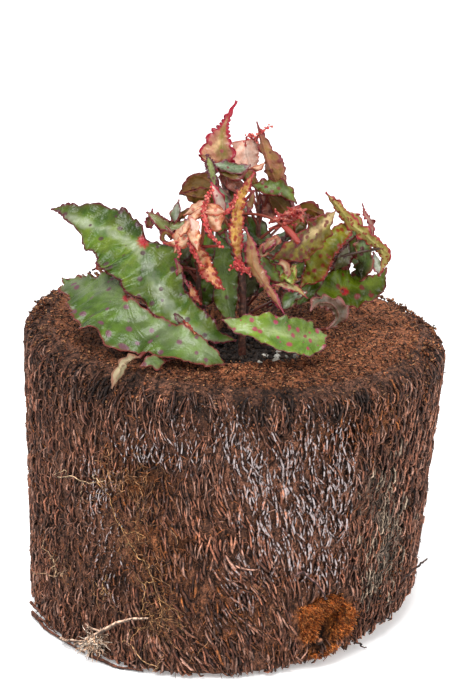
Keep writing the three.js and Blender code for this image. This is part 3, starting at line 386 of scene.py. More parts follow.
LOOKS = {
    "satin": skin("486a08 6e841e 6c6c2c b8c0a8 4c2834 5c1c24 b41c26", sheen=(2.4, 0.6), sheen_left=3.0,
        margin=(0.35, 0.22), teeth=(2.4, 0.55, 0.3), scallop=True, frill=(3.4, 0.55), ribs=0.08,
        veins=0.03, right_shade=0.66, gloss=0.35),
    "deep": skin("4c6410 647a24 6c6c2c 94a870 5e2c34 5c2228 6a2028", sheen=(1.2, 0.25), spots=(0.7, 6.0),
        margin=(0.25, 0.15), joint=0.5, shade=0.75),
    "pale_spotted": skin("5e7c20 466412 6c6c2c acb88e 703a52 7c3830 a02430", sheen=(6.0, 0.35),
        spots=(0.95, 5.8), margin=(0.3, 0.22), joint=1.0, teeth=(2.4, 0.5, 0.3), scallop=True, lobes=0.8,
        frill=(3.6, 0.55), ribs=0.1, veins=0.04, gloss=0.38),
    "pink_spotted": skin("7a9628 5e821a 6c6c2c bcc88a a02850 743038 902840", sheen=(2.4, 0.45),
        spots=(0.8, 3.5), margin=(0.2, 0.13), joint=0.4, lobes=0.3, frill=(5.0, 0.6), ribs=0.1,
        veins=0.03),
    "red_spotted": skin("4c5e08 687c14 6c6c2c 8c983c 7a2028 74262c b01824", sheen=(2.5, 0.25),
        spots=(0.95, 4.6), margin=(0.3, 0.18), joint=1.2, lobes=0.8, ribs=0.03, veins=0.01, gloss=0.25),
    "purple_spotted": skin("60781a 425408 6c6c2c a0ac74 6c2228 6c1c20 6a1a20", sheen=(1.4, 0.35),
        spots=(0.65, 2.8), margin=(0.4, 0.2), joint=0.4, ribs=0.1, veins=0.02, patch=4.0, shade=0.78,
        gloss=0.3),
    "blue_green": skin("4e6428 44502c 5a6a3e 8c9c7c 5a2434 84483e 5c1a28", sheen=(1.6, 0.35),
        spots=(0.7, 4.2), margin=(0.35, 0.2), joint=0.5, patch=3.0, shade=0.85, gloss=0.25),
    "grey_green": skin("5e744a 44582e 7c4c34 a8b498 5c3c44 74343c 74343c", sheen=(1.4, 0.6),
        spots=(0.5, 4.0), margin=(0.3, 0.2), joint=0.3, shade=0.8, rough=0.3),
    "grey_pink": skin("7c7058 84605a 5c5840 b4ac98 6a4440 844c44 7c443e", slot="leaf_olive",
        sheen=(2.0, 0.6), spots=(0.6, 6.0), margin=(0.35, 0.2), joint=0.4, shade=0.75),
    "yellow_green": skin("7c7418 5c6410 8c8040 a89c3c 7a1e18 8c342e 782222", slot="leaf_young",
        sheen=(2.0, 0.4), spots=(0.7, 3.4), margin=(0.45, 0.26), joint=0.6, teeth=(1.9, 0.7, 0.4),
        crumple=0.4, ribs=0.05, veins=0.02, shade=0.8, gloss=0.25),
    "crinkled": skin("9ca83c 7c9028 98984c ccd488 8a3430 8c5c34 78502c", slot="leaf_young",
        sheen=(1.2, 0.5), spots=(0.4, 3.4), joint=0.5, teeth=(1.5, 0.9, 0.2), frill=(2.8, 1.2),
        crumple=0.8, patch=2.0, shade=0.9),
    "glossy": skin("5c7c1c 486810 6c6c2c ccd4c0 5e2c34 6c3430 6a2028", sheen=(1.4, 0.8), spots=(0.4, 5.0),
        margin=(0.3, 0.16), joint=0.5, both=True, patch=2.5, shade=0.85),
    "toothed": skin("a08448 808434 98844c bcac74 8a2430 882434 962234", slot="leaf_young",
        sheen=(1.5, 0.5), spots=(0.6, 2.8), margin=(0.4, 0.2), joint=0.5, teeth=(1.5, 0.9, 0.5),
        beads=0.18, narrow=0.7, shade=0.85),
    "dark_beaded": skin("84944c 6c7c34 74783c a8b070 5a2434 58202c 58202c", slot="leaf_young",
        sheen=(1.0, 0.5), spots=(0.6, 2.6), margin=(0.45, 0.26), joint=0.5, teeth=(1.25, 1.0, 0.0),
        scallop=True, lobes=0.0, beads=0.55, narrow=0.75, patch=3.0, shade=0.85),
    "arch": skin("a49848 848034 98985c c8bc78 7c2420 942c30 84242c", slot="leaf_young", sheen=(1.6, 0.6),
        spots=(0.4, 1.5), margin=(0.4, 0.2), joint=0.4, teeth=(2.0, 0.7, 0.3), lobes=0.3, narrow=1.3,
        both=True, patch=3.0, shade=0.9, stalk="4a3020", gloss=0.3),
    "silver": skin("98a488 6c7c54 8c9878 dce0d0 6c4c4c 84303c 84303c", slot="leaf_olive",
        sheen=(1.6, 0.7), spots=(0.4, 5.0), margin=(0.3, 0.2), joint=0.3, both=True, patch=3.0,
        shade=0.85),
    "cream": skin("5a3a0c 74681c 64601c d4b884 640c14 802c30 5a1220", slot="leaf_young", sheen=(1.9, 0.9),
        sheen_from=0.5, spots=(0.7, 2.4), margin=(0.3, 0.18), joint=1.3, teeth=(2.6, 0.8, 0.2),
        veins=0.02, both=True, patch=4.0, shade=0.78, stalk="a8503c", gloss=0.25),
    "olive_pink": skin("743c2c 8c7830 945c40 b88c64 6a2428 741c24 6a2428", slot="leaf_young",
        sheen=(2.0, 0.4), spots=(0.8, 4.0), margin=(0.4, 0.2), joint=0.5, teeth=(2.2, 0.4, 0.3),
        lobes=0.7, frill=(4.6, 0.55), ribs=0.1, patch=4.0, shade=0.9),
    "pink_green": skin("66763a 5e6828 8a7a4a 98a064 8c303c 7c2834 8c303c", slot="leaf_young",
        sheen=(1.5, 0.4), spots=(0.6, 3.8), margin=(0.5, 0.26), joint=0.5, teeth=(2.0, 0.6, 0.3),
        frill=(4.0, 1.4), shade=0.85),
    "blush": skin("c09c70 ac745c b48c6c 7c7828 a0444c a01830 981826", slot="leaf_young", sheen=(2.4, 0.9),
        spots=(0.6, 4.2), margin=(0.8, 0.26), joint=2.6, teeth=(2.2, 1.7, 0.5), scallop=True, lobes=0.2,
        frill=(5.0, 0.6), narrow=0.9, patch=4.0, shade=0.9, glow=0.2),
    "orange": skin("b87838 b08a38 b07832 cc9850 8a1a18 9c2c30 a82620", slot="leaf_orange",
        sheen=(1.4, 0.5), spots=(0.6, 1.8), margin=(0.4, 0.24), joint=0.5, teeth=(1.5, 0.9, 0.5),
        frill=(3.4, 0.8), beads=0.24, narrow=0.85, crumple=0.5, patch=3.0, shade=0.85, glow=0.15),
    "yellow_red": skin("cc9460 b8643c a87032 d8b080 8a1612 8c201a 901a18", slot="leaf_orange",
        sheen=(1.2, 0.4), spots=(0.8, 1.9), margin=(0.45, 0.24), joint=0.5, teeth=(1.4, 0.9, 0.5),
        frill=(3.0, 0.9), beads=0.28, crumple=0.6, patch=2.5, shade=0.9),
    "coral": skin("c44440 cc6c60 b03c38 cc7c64 982420 ac2c34 a02820", slot="shoot_red", sheen=(1.0, 0.4),
        spots=(0.5, 2.5), margin=(0.5, 0.3), joint=0.5, teeth=(1.4, 0.9, 0.3), frill=(3.2, 1.0),
        chain=0.5, narrow=0.25, crumple=0.6, patch=2.0, shade=0.95, stalk="b4483c"),
    "red_petal": skin("c04830 8c2820 a03828 e49478 8c201c 8c2024 a02820", slot="shoot_red",
        sheen=(0.8, 0.6), spots=(0.5, 2.5), margin=(0.3, 0.16), joint=0.5, teeth=(1.4, 1.1, 0.2),
        lobes=0.3, frill=(3.0, 1.2), narrow=0.7, crumple=0.8, patch=1.6, shade=0.88, stalk="a8463a",
        gloss=0.6),
    "peach": skin("e8b890 b86438 cc8454 f0ccb0 c0604c b85c44 a84c38", slot="bract_peach",
        sheen=(1.2, 0.6), spots=(0.5, 4.0), margin=(0.25, 0.14), joint=0.6, teeth=(2.4, 0.4, 0.0),
        lobes=0.4, frill=(4.4, 0.6), cup=-1.8, crumple=0.25, ribs=0.8, thick=0.3, patch=2.4, shade=1.0,
        stalk="b8664c", rough=0.25, glow=0.15),
    "fan": skin("f4d0bc e4b098 e8b89c f8e4d4 cc6c64 cc8474 bc5c48", slot="bract_peach", sheen=(1.5, 0.5),
        spots=(0.4, 6.0), margin=(0.3, 0.16), joint=0.5, teeth=(1.2, 0.5, 0.0), lobes=0.3,
        frill=(2.6, 0.5), ribs=0.9, thick=0.3, patch=2.4, shade=0.92, stalk="c0705a", rough=0.4,
        glow=0.25),
    "pale_pink": skin("e8d8c4 d8a89c d8b4a4 f0e8d8 a84c54 a82c40 9c424e", slot="bract_peach",
        sheen=(1.2, 0.5), spots=(0.4, 5.0), margin=(0.4, 0.18), joint=0.4, teeth=(2.0, 0.4, 0.2), cup=1.0,
        thick=0.3, both=True, patch=2.5, shade=1.0, glow=0.3),
    "pink_tip": skin("dc9c8c c87468 d8b4a4 ecd0b8 a83c44 a42838 9c424e", slot="bract_peach",
        sheen=(0.8, 0.5), spots=(0.4, 3.0), margin=(0.5, 0.2), joint=0.4, teeth=(1.6, 0.8, 0.2),
        frill=(3.0, 0.8), narrow=0.55, thick=0.3, both=True, patch=2.5, glow=0.3),
    "beige_pink": skin("906c3c 745828 9c7448 b49868 7c3438 882c40 8c383e", slot="leaf_young",
        sheen=(1.2, 0.5), spots=(0.6, 4.0), margin=(0.4, 0.2), joint=0.5, teeth=(1.7, 0.8, 0.5), cup=1.0,
        shade=0.85),
    "rolled": skin("bc9c78 ac7c5c c0a080 c8b892 90303c 98483c 8c383e", slot="leaf_young",
        sheen=(1.5, 0.5), spots=(0.6, 3.0), margin=(0.25, 0.14), joint=0.4, teeth=(1.5, 0.4, 0.2),
        frill=(5.0, 0.4), narrow=0.8, cup=2.4, shade=0.9),
    "olive": skin("5c5414 74461e 6c5420 8c7434 5a3020 6a2422 4c1a20", slot="leaf_olive", sheen=(2.0, 0.4),
        spots=(0.8, 6.0), margin=(0.4, 0.2), joint=0.6, shade=0.95, rough=0.3, gloss=0.3),
    "dark_olive": skin("5a5c3a 403c20 4a462a 747450 3c2420 4c1c20 3c1a20", slot="leaf_olive",
        sheen=(2.0, 0.4), spots=(0.8, 6.0), margin=(0.4, 0.22), joint=0.5, shade=0.9),
    "red_brown": skin("9c5844 784430 9c5c48 c88c74 5a2420 6c2428 4a1a1e", slot="leaf_olive",
        sheen=(1.5, 0.5), spots=(0.7, 4.5), margin=(0.4, 0.2), joint=0.5, cup=1.0, crumple=0.5,
        shade=0.92, rough=0.26),
    "dry": skin("c0b28c a09270 b4a882 ccc09e 7a664c 8c6048 843c30", slot="leaf_dry", sheen=(1.2, 0.5),
        spots=(0.4, 5.0), margin=(0.3, 0.16), teeth=(2.2, 0.4, 0.0), cup=1.0, crumple=0.5, ribs=0.6,
        shade=0.8, stalk="8a3830", rough=0.6, glow=0.1),
}


# ---------------------------------------------------------------- numbers and curves
def unit(vectors):
    return vectors / np.maximum(np.linalg.norm(vectors, axis=-1, keepdims=True), 1e-9)


def smooth_curve(points, shares):
    """Points at shares 0 to 1 of a smooth curve through points, and the curve's slopes there."""
    knots = np.asarray(points, float)
    knots = np.vstack([2 * knots[0] - knots[1], knots, 2 * knots[-1] - knots[-2]])
    along = np.asarray(shares, float) * (len(knots) - 3)
    first = np.minimum(along.astype(int), len(knots) - 4)
    t = (along - first)[:, None]
    before, start, end, after = (knots[first + i] for i in range(4))
    leave = (end - before) / 2
    arrive = (after - start) / 2
    square = 3 * (end - start) - 2 * leave - arrive
    cube = 2 * (start - end) + leave + arrive
    return start + leave * t + square * t**2 + cube * t**3, leave + 2 * square * t + 3 * cube * t**2


def ripples(x, y, draw, size, count=7, circle=0.0):
    """Smooth random hills over a plane, from about -1 to 1, with a wave length around size. With a
    circle's radius, x is the angle round it and the hills close on themselves."""
    total = np.zeros(np.broadcast(x, y).shape)
    for _ in range(count):
        heading = draw.uniform(0, 2 * math.pi)
        wave = 2 * math.pi / (size * draw.uniform(0.7, 1.5))
        across = wave * math.cos(heading)
        if circle:
            across = round(across * circle)
        total = total + np.sin(across * x + wave * math.sin(heading) * y + draw.uniform(0, 7))
    return total / math.sqrt(count / 1.2)


def linear(colour):
    """A colour of six hexadecimal digits as the linear values that a render works in."""
    levels = np.array([int(colour[i:][:2], 16) for i in (-6, -4, -2)]) / 255
    return np.where(levels <= 0.04045, levels / 12.92, ((levels + 0.055) / 1.055) ** 2.4)


def blend(colour, other, share):
    """A linear colour with a share, from 0 to 1, of another one of six digits over it."""
    share = np.clip(share, 0, 1)[..., None]
    return colour * (1 - share) + linear(other) * share


def seeded(kind, index=0):
    """The random draws of one kind of detail, so that no kind changes another."""
    return np.random.default_rng(SEEDS[kind] + index)


def pick(draw, colours, count):
    """A colour for each of count things, each a little lighter or darker."""
    shades = np.array([linear(colour) for colour in colours])
    return shades[draw.integers(0, len(colours), count)] * draw.uniform(0.75, 1.25, (count, 1))


def grain_sizes(draw, kind, count, uneven=(0.6, 1.3)):
    """Half lengths along three axes for each of count grains."""
    return draw.uniform(*GRAINS[kind], (count, 1)) * draw.uniform(*uneven, (count, 3))


# ---------------------------------------------------------------- meshes
class Parts:
    """Points in mm, faces and a value or colour for each point, gathered into one mesh."""

    def __init__(self):
        self.points, self.quads, self.triangles, self.values = [], [], [], {}
        self.count = 0

    def add(self, points, quads=(), triangles=(), **values):
        points = np.asarray(points, float).reshape(-1, 3)
        self.points.append(points)
        self.quads.append(np.asarray(quads, int).reshape(-1, 4) + self.count)
        self.triangles.append(np.asarray(triangles, int).reshape(-1, 3) + self.count)
        for name, value in values.items():
            value = np.asarray(value, float)
            shape = (len(points),) + (value.shape[-1:] if value.ndim and value.shape[-1] in (2, 3) else ())
            self.values.setdefault(name, []).append(np.broadcast_to(value, shape))
        self.count += len(points)

    def mesh(self, name):
        quads, triangles = np.concatenate(self.quads), np.concatenate(self.triangles)
        corners = np.concatenate([quads.ravel(), triangles.ravel()]).astype(np.int32)
        starts = [np.arange(len(quads)) * 4, len(quads) * 4 + np.arange(len(triangles)) * 3]
        starts = np.concatenate(starts).astype(np.int32)
        mesh = bpy.data.meshes.new(name)
        mesh.vertices.add(self.count)
        mesh.vertices.foreach_set("co", (np.concatenate(self.points) * MM).astype(np.float32).ravel())
        mesh.loops.add(len(corners))
        mesh.loops.foreach_set("vertex_index", corners)
        mesh.polygons.add(len(starts))
        mesh.polygons.foreach_set("loop_start", starts)
        mesh.polygons.foreach_set("use_smooth", np.ones(len(starts), bool))
        mesh.update(calc_edges=True)
        for key, chunks in self.values.items():
            value = np.concatenate(chunks).astype(np.float32)
            if value.ndim == 1:
                mesh.attributes.new(key, "FLOAT", "POINT").data.foreach_set("value", value)
            elif value.shape[1] == 3:
                full = np.hstack([value, np.ones((len(value), 1), np.float32)])
                mesh.attributes.new(key, "FLOAT_COLOR", "POINT").data.foreach_set("color", full.ravel())
            else:
                mesh.uv_layers.new(name=key).data.foreach_set("uv", value[corners].ravel())
        return mesh


def add_object(name, data):
    made = bpy.data.objects.new(name, data)
    bpy.context.scene.collection.objects.link(made)
    return made


def place(name, parts, material, node):
    """The parts as a piece that rides on the only body and stands for the node."""
    piece = add_object(name, parts.mesh(name))
    piece.data.materials.append(material)
    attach(piece, "root")
    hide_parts(node)


def grid_quads(rows, columns, closed=False):
    """Faces of a grid of points, row by row. A closed one joins its last column to its first."""
    row = np.arange(rows - 1)[:, None] * columns
    column = np.arange(columns if closed else columns - 1)[None, :]
    near, far = row + column, row + (column + 1) % columns
    return np.stack([near, far, far + columns, near + columns], -1).reshape(-1, 4)


def spread(values, copies):
    """Each value repeated for all the points that share it. A single number serves every point."""
    one_each = {key: value for key, value in values.items() if np.ndim(value)}
    return {**values, **{key: np.repeat(value, copies, axis=0) for key, value in one_each.items()}}


def add_tubes(parts, paths, radii, sides, crest=None, **values):
    """Closed tubes along many paths at once: paths is (tubes, steps, 3) and radii (tubes, steps).
    crest is the way each tube's ridge looks, if it has one, and a value is given once for each tube."""
    paths = np.asarray(paths, float)
    count, steps, _ = paths.shape
    tangent = unit(np.gradient(paths, axis=1))
    run = unit(paths[:, -1] - paths[:, 0] + 1e-6)
    lean = np.where(np.abs(run[:, 2:]) > 0.8, [[1.0, 0.3, 0.1]], [[0.1, 0.2, 1.0]])
    lean = np.broadcast_to(lean if crest is None else crest, (count, 3))
    side = unit(np.cross(tangent, lean[:, None]))
    up = np.cross(side, tangent)
    turn = math.pi / 2 + 2 * math.pi * np.arange(sides) / sides
    spokes = np.cos(turn)[:, None] * side[:, :, None] + np.sin(turn)[:, None] * up[:, :, None]
    points = paths[:, :, None] + np.broadcast_to(radii, (count, steps))[..., None, None] * spokes
    wall = grid_quads(steps, sides, closed=True)[:, ::-1]
    first = np.array([(0, k, k + 1) for k in range(1, sides - 1)])
    ends = np.vstack([first, (steps - 1) * sides + first[:, ::-1]])
    starts = (np.arange(count) * steps * sides)[:, None, None]
    values = spread(values, steps * sides)
    if crest is not None:
        # ridge runs from 1 on the crest to -1 underneath; the fibre material paints shade and a highlight
        # with it
        values["ridge"] = np.tile(np.sin(turn), count * steps)
    parts.add(points, wall + starts, ends + starts, **values)


def add_stalk(parts, path, radii, sides):
    """A tube in the look's stalk colour, mapped far from the blade's rim and joint."""
    add_tubes(parts, path[None], radii, sides, upper=1, rim=5, stalk=1, leaf=[[9, 9]])


def add_skin(parts, rings, tint):
    """A closed skin through rings of points (rings, points, 3), fanned shut at both ends, with a tint
    for each point of the rings."""
    rings = np.asarray(rings, float)
    count, around, _ = rings.shape
    k = np.arange(around)
    after = (k + 1) % around
    total = count * around
    first = np.stack([np.full(around, total), after, k], -1)
    last = np.stack([np.full(around, total + 1), total - around + k, total - around + after], -1)
    tint = tint.reshape(-1, 3)
    points = np.vstack([rings.reshape(-1, 3), rings[0].mean(0), rings[-1].mean(0)])
    tints = np.vstack([tint, tint[:1], tint[-1:]])
    parts.add(points, grid_quads(count, around, closed=True), np.vstack([first, last]), tint=tints)


def ball(subdivisions):
    """The points and faces of a ball of radius 1, or of an octahedron for none."""
    if not subdivisions:
        points = [(1, 0, 0), (0, 1, 0), (0, 0, 1), (-1, 0, 0), (0, -1, 0), (0, 0, -1)]
        faces = [(0, 1, 2), (1, 3, 2), (3, 4, 2), (4, 0, 2), (1, 0, 5), (3, 1, 5), (4, 3, 5), (0, 4, 5)]
        return np.array(points), np.array(faces)
    made = bmesh.new()
    bmesh.ops.create_icosphere(made, subdivisions=subdivisions, radius=1)
    points = np.array([v.co[:] for v in made.verts])
    faces = np.array([[v.index for v in f.verts] for f in made.faces])
    made.free()
    return points, faces


def add_lumps(parts, centres, sizes, draw, detail=0, jag=0.35, **values):
    """Angular lumps: sizes is (lumps, 3), the half length along each lump's own axes."""
    base, faces = ball(detail)
    count = len(centres)
    shaken = base * (1 + draw.uniform(-jag, jag, (count, len(base), 1))) * np.asarray(sizes)[:, None]
    turns, _ = np.linalg.qr(draw.normal(size=(count, 3, 3)))
    turns[:, :, 0] *= np.sign(np.linalg.det(turns))[:, None]
    points = np.asarray(centres)[:, None] + shaken @ turns
    starts = (np.arange(count) * len(base))[:, None, None]
    parts.add(points, (), faces + starts, **spread(values, len(base)))


# ---------------------------------------------------------------- materials
class Field:
    """A number or colour that varies over a surface: an output of a shader node."""

    def __init__(self, surface, socket):
        self.surface, self.socket = surface, socket

    def output(self, key):
        """Another output of the same node."""
        return Field(self.surface, self.socket.node.outputs[key])

    def __abs__(self):
        return self.surface.math("ABSOLUTE", self)

    def arithmetic(operation):
        return lambda self, other: self.surface.math(operation, self, other)

    __add__, __sub__, __mul__, __truediv__ = map(arithmetic, ("ADD", "SUBTRACT", "MULTIPLY", "DIVIDE"))


class Surface:
    """A material's shader, put together by short calls. A colour is linear, a length in mm."""

    def __init__(self, name):
        self.material = bpy.data.materials.new(name)
        self.material.use_nodes = True
        self.nodes = self.material.node_tree.nodes
        self.nodes.clear()

    def put(self, socket, value):
        if isinstance(value, Field):
            self.material.node_tree.links.new(value.socket, socket)
        elif hasattr(socket.default_value, "__len__") and len(socket.default_value) == 4:
            socket.default_value = (*value, 1)
        else:
            socket.default_value = value

    def node(self, kind, inputs=(), output=0, **settings):
        """An output of a new node. The inputs are given by name or number, or in order."""
        made = self.nodes.new("ShaderNode" + kind)
        for key, value in settings.items():
            setattr(made, key, value)
        for key, value in inputs.items() if isinstance(inputs, dict) else enumerate(inputs):
            self.put(made.inputs[key], value)
        return Field(self, made.outputs[output])

    def math(self, operation, *values):
        return self.node("Math", values, operation=operation)

    def step(self, value, start, end, low=0.0, high=1.0):
        """Goes smoothly from low at start to high at end."""
        return self.node("MapRange", (value, start, end, low, high), interpolation_type="SMOOTHSTEP")

    def mix(self, share, first, second):
        return self.node("Mix", {0: share, 6: first, 7: second}, 2, data_type="RGBA")

    def value(self, name):
        return self.node("Attribute", output=2, attribute_name=name)

    def colour(self, name):
        return self.node("Attribute", attribute_name=name)

    def shaded(self, colour, factor):
        """The colour made darker or brighter, or a point moved away from the middle."""
        return self.node("VectorMath", {0: colour, "Scale": factor}, operation="SCALE")

    def place(self):
        """The point of the surface in mm."""
        return self.shaded(self.node("TexCoord", output=3), 1 / MM)

    def stretched(self, up):
        """The same point with its height scaled, for grain that runs up and down."""
        return self.node("VectorMath", (self.place(), (1, 1, up)), operation="MULTIPLY")

    def noise(self, where, size, detail=3.0):
        """Cloudy noise from 0 to 1 with features about size mm across."""
        return self.node("TexNoise", dict(Vector=where, Scale=1 / size, Detail=detail, Roughness=0.55))

    def bump(self, height, depth, strength=1.0):
        return self.node("Bump", dict(Height=height, Distance=depth * MM, Strength=strength))

    def finish(self, colour, rough, normal=None, glow=0.0, **fixed):
        """The material itself. glow is the share of light that comes through from behind."""
        inputs = {"Base Color": colour, "Roughness": rough}
        inputs.update({key.replace("_", " "): value for key, value in fixed.items()})
        if normal is not None:
            inputs["Normal"] = normal
        result = self.node("BsdfPrincipled", inputs)
        if glow:
            through = self.node("BsdfTranslucent", dict(Color=colour))
            result = self.node("MixShader", (glow, result, through))
        self.put(self.nodes.new("ShaderNodeOutputMaterial").inputs[0], result)
        return self.material


@functools.cache
def leaf_surface(name):
    """A leaf's skin, drawn on its own map: mm along the midrib from the petiole, and mm aside."""
    s = Surface("leaf_" + name)
    look = LOOKS[name]
    shade, colours = look["shade"], [linear(colour) for colour in look["colours"]]
    upper, mottle, under, stalk = (shade * colour for colour in (*colours[:3], linear(look["stalk"])))
    sheen, spots, margin, joint = ((shade + 1) / 2 * colour for colour in colours[3:])
    where = s.node("UVMap", uv_map="leaf")
    along = s.node("SeparateXYZ", (where,))
    across = along.output(1)
    aside = abs(across)
    cloud = s.noise(where, look["patch"], 2)
    blotch = s.noise(where, 3.0, 3)
    grain = s.noise(where, 0.9, 4)
    wobble = (blotch - 0.5) * 2.4
    from_joint = s.math("SQRT", along * along + aside * aside)
    turns = s.math("ARCTAN2", aside, along) * (VEINS / (2 * math.pi))
    fan = s.node("CombineXYZ", (turns * 2.2, from_joint * 0.14, s.math("SIGN", across) * 3.0))
    streak = s.noise(fan, 1.0, 3)
    off_vein = abs(s.math("WRAP", turns + wobble * 0.03, 0.5, -0.5)) * from_joint * (2 * math.pi / VEINS)
    vein = s.step(off_vein, 0.5, 0.1)

    skin = s.mix(s.step(cloud, 0.38, 0.62), upper, mottle)
    for source, *change in (
        (s.noise(where, 13.0, 2), 0.36, 0.6, 0.68, 1.2),
        (streak, 0.3, 0.7, 0.88, 1.12),
        (blotch, 0.3, 0.7, 0.85, 1.15),
        # painted shade: the blade is darker right of the midrib
        (across, -1.0, 2.0, 1.0, look["right_shade"]),
    ):
        skin = s.shaded(skin, s.step(source, *change))
    # the sheen: a painted highlight along the midrib, with some of the leaf's own pale colour
    width, strength = look["sheen"]
    off_middle = abs(across + look["sheen_left"]) + wobble * 1.6
    shine = s.step(off_middle, width * 1.3, 0.0) * s.step(streak, 0.38, 0.6, 0.6, 1.0)
    shine = shine * s.step(cloud, 0.35, 0.55, 0.35, 1.0)
    shine = shine * s.step(along, look["sheen_from"], look["sheen_from"] + 3)
    skin = s.mix(shine * strength, skin, sheen)
    skin = s.mix(vein * look["veins"], skin, sheen)
    below = s.mix(s.step(cloud, 0.4, 0.65, 0, 0.5), under, mottle)
    below = s.shaded(below, s.step(streak, 0.3, 0.7, 0.82, 1.18))
    below = s.mix(vein * 0.35, below, stalk)
    skin = s.mix(s.value("upper"), below, skin)

    radius, spacing = look["spots"]
    cells = s.node("TexVoronoi", dict(Vector=where, Scale=1 / spacing), voronoi_dimensions="2D")
    reach = s.step(cells.output("Color"), 0.25, 0.7, 0.15, 1.15)
    off_spot = (cells * spacing + wobble * 0.3) / reach
    skin = s.mix(s.step(off_spot, radius * 1.25, radius * 0.65, 0, 0.85), skin, spots)

    radius = look["joint"]
    ray = from_joint + wobble - vein * (radius * 0.3)
    skin = s.mix(s.step(ray, radius * 1.9, radius * 0.4), skin, joint)
    width, _ = look["margin"]
    off_margin = s.value("rim") + wobble * 0.35
    skin = s.mix(s.step(off_margin, width * 5, 0.0, 0, 0.35), skin, margin)
    skin = s.mix(s.step(off_margin, width * 1.4, width * 0.5), skin, margin)
    skin = s.mix(s.value("stalk"), skin, s.mix(grain, stalk, 0.45 * stalk))

    rough = (blotch - 0.5) * 0.25 + look["rough"]
    relief = blotch * 1.1 + grain * 0.35 + streak * 0.5 - vein * (6 * look["veins"])
    return s.finish(skin, rough, s.bump(relief, 0.45, 0.9), look["glow"], Specular_IOR_Level=look["gloss"])


def fibre_surface():
    """Root fibre: each strand has its own tint and darker streaks, painted shade on its flanks and
    underside with a painted highlight on its crest, and in places silvery skin that is partly a painted
    highlight.
    """
    s = Surface("root_fibre")
    here = s.stretched(0.45)
    streak = s.noise(here, 1.3, 4)
    flake = s.noise(s.stretched(0.7), 1.0, 3)
    knots = s.noise(s.place(), 0.9, 3)
    grain = s.noise(here, 0.35, 2)
    ridge = s.value("ridge")
    colour = s.shaded(s.colour("tint"), s.step(streak, 0.36, 0.6, 0.32, 1.3))
    colour = s.shaded(colour, s.step(knots, 0.36, 0.54, 0.5, 1.22))
    # painted shade on the flanks and underside of each fibre, and a painted highlight on its crest
    colour = s.shaded(colour, s.step(ridge, -0.2, 0.7, 0.16, 1.14))
    # silvery grey on the crests, partly the fibres' own weathered colour and partly a painted highlight,
    # and painted glints on crests elsewhere
    silver = s.value("silver") * s.step(ridge, -0.1, 0.35)
    silver_and_glints = s.step(flake + silver * 0.22, 0.64, 0.76) * s.step(silver, 0.1, 0.6)
    silver_and_glints = s.math("MAXIMUM", silver_and_glints, s.step(flake, 0.66, 0.74) * s.step(ridge, 0.2, 0.8, 0, 0.4))
    colour = s.mix(silver_and_glints, colour, linear("#b4a8a8"))
    rough = grain * 0.2 + 0.62 - silver_and_glints * 0.25
    return s.finish(colour, rough, s.bump(grain + streak + knots * 1.5, 0.3, 0.9), Specular_IOR_Level=0.35)


def felt_surface():
    """Packed root dust and fine rootlets, with rusty flecks and dark pores."""
    s = Surface("root_felt")
    pores = s.noise(s.stretched(0.5), 1.5, 4)
    crumbs = s.noise(s.place(), 0.6, 3)
    colour = s.shaded(s.colour("tint"), s.step(pores, 0.36, 0.6, 0.12, 1.1))
    colour = s.shaded(colour, s.step(crumbs, 0.35, 0.65, 0.5, 1.5))
    colour = s.mix(s.step(crumbs, 0.6, 0.72, 0, 0.5), colour, linear("#b0703f"))
    return s.finish(colour, 0.85, s.bump(pores * 2.0 + crumbs, 0.5), Specular_IOR_Level=0.25)


def matt_surface(name, rough, grain_size, depth):
    """A dull crumbly surface that takes its colour from the points' tint."""
    s = Surface(name)
    grain = s.noise(s.place(), grain_size, 4)
    colour = s.mix(s.step(grain, 0.35, 0.65, 0.0, 0.55), s.colour("tint"), (0.012, 0.008, 0.006))
    return s.finish(colour, rough, s.bump(grain, depth))


def bark_surface():
    """Dark woody bark with paler scaly flecks and reddish young wood in between."""
    s = Surface("stem_bark")
    here = s.place()
    flecks = s.noise(here, 1.1, 5)
    colour = s.mix(s.step(flecks, 0.45, 0.7), linear("#3c2018"), linear("#7c5240"))
    colour = s.mix(s.step(s.noise(here, 3.0, 2), 0.5, 0.7, 0, 0.6), colour, linear("#6a3224"))
    return s.finish(colour, flecks * 0.2 + 0.5, s.bump(flecks, 0.35))


# ---------------------------------------------------------------- the drum's skin, as in the part
def plan(angle):
    oval = 0.012 * np.cos(2 * angle + 0.6)
    lobes = 0.012 * np.cos(3 * angle - 1.1) + 0.006 * np.cos(5 * angle)
    return 1 + oval + lobes


def taper(angle, z):
    return 1 - (1 - z / HEIGHT) * TAPER * np.maximum(0, np.cos(angle + 0.3))


def scar_distance(angle, z):
    across = (angle - SCAR["angle"] + math.pi) % (2 * math.pi) - math.pi
    return np.hypot(across * RADIUS, (z - SCAR["height"]) * 1.05) / SCAR["radius"]


def scar_relief(angle, z):
    d = scar_distance(angle, z)
    return SCAR["lip"] * np.exp(-(((d - 1.1) / 0.35) ** 2)) - SCAR["depth"] * np.exp(-((d / 0.6) ** 2))


def foot_height(angle):
    least, most = FOOT_LIFT
    return least + (most - least) * np.maximum(0, np.cos(angle + 0.3)) ** 4


def top_height(x, y):
    return HEIGHT - TOP_FALL_RIGHT * x + TOP_RISE_BACK * y


def outward(angle):
    return np.stack([np.cos(angle), np.sin(angle), 0 * angle], -1)


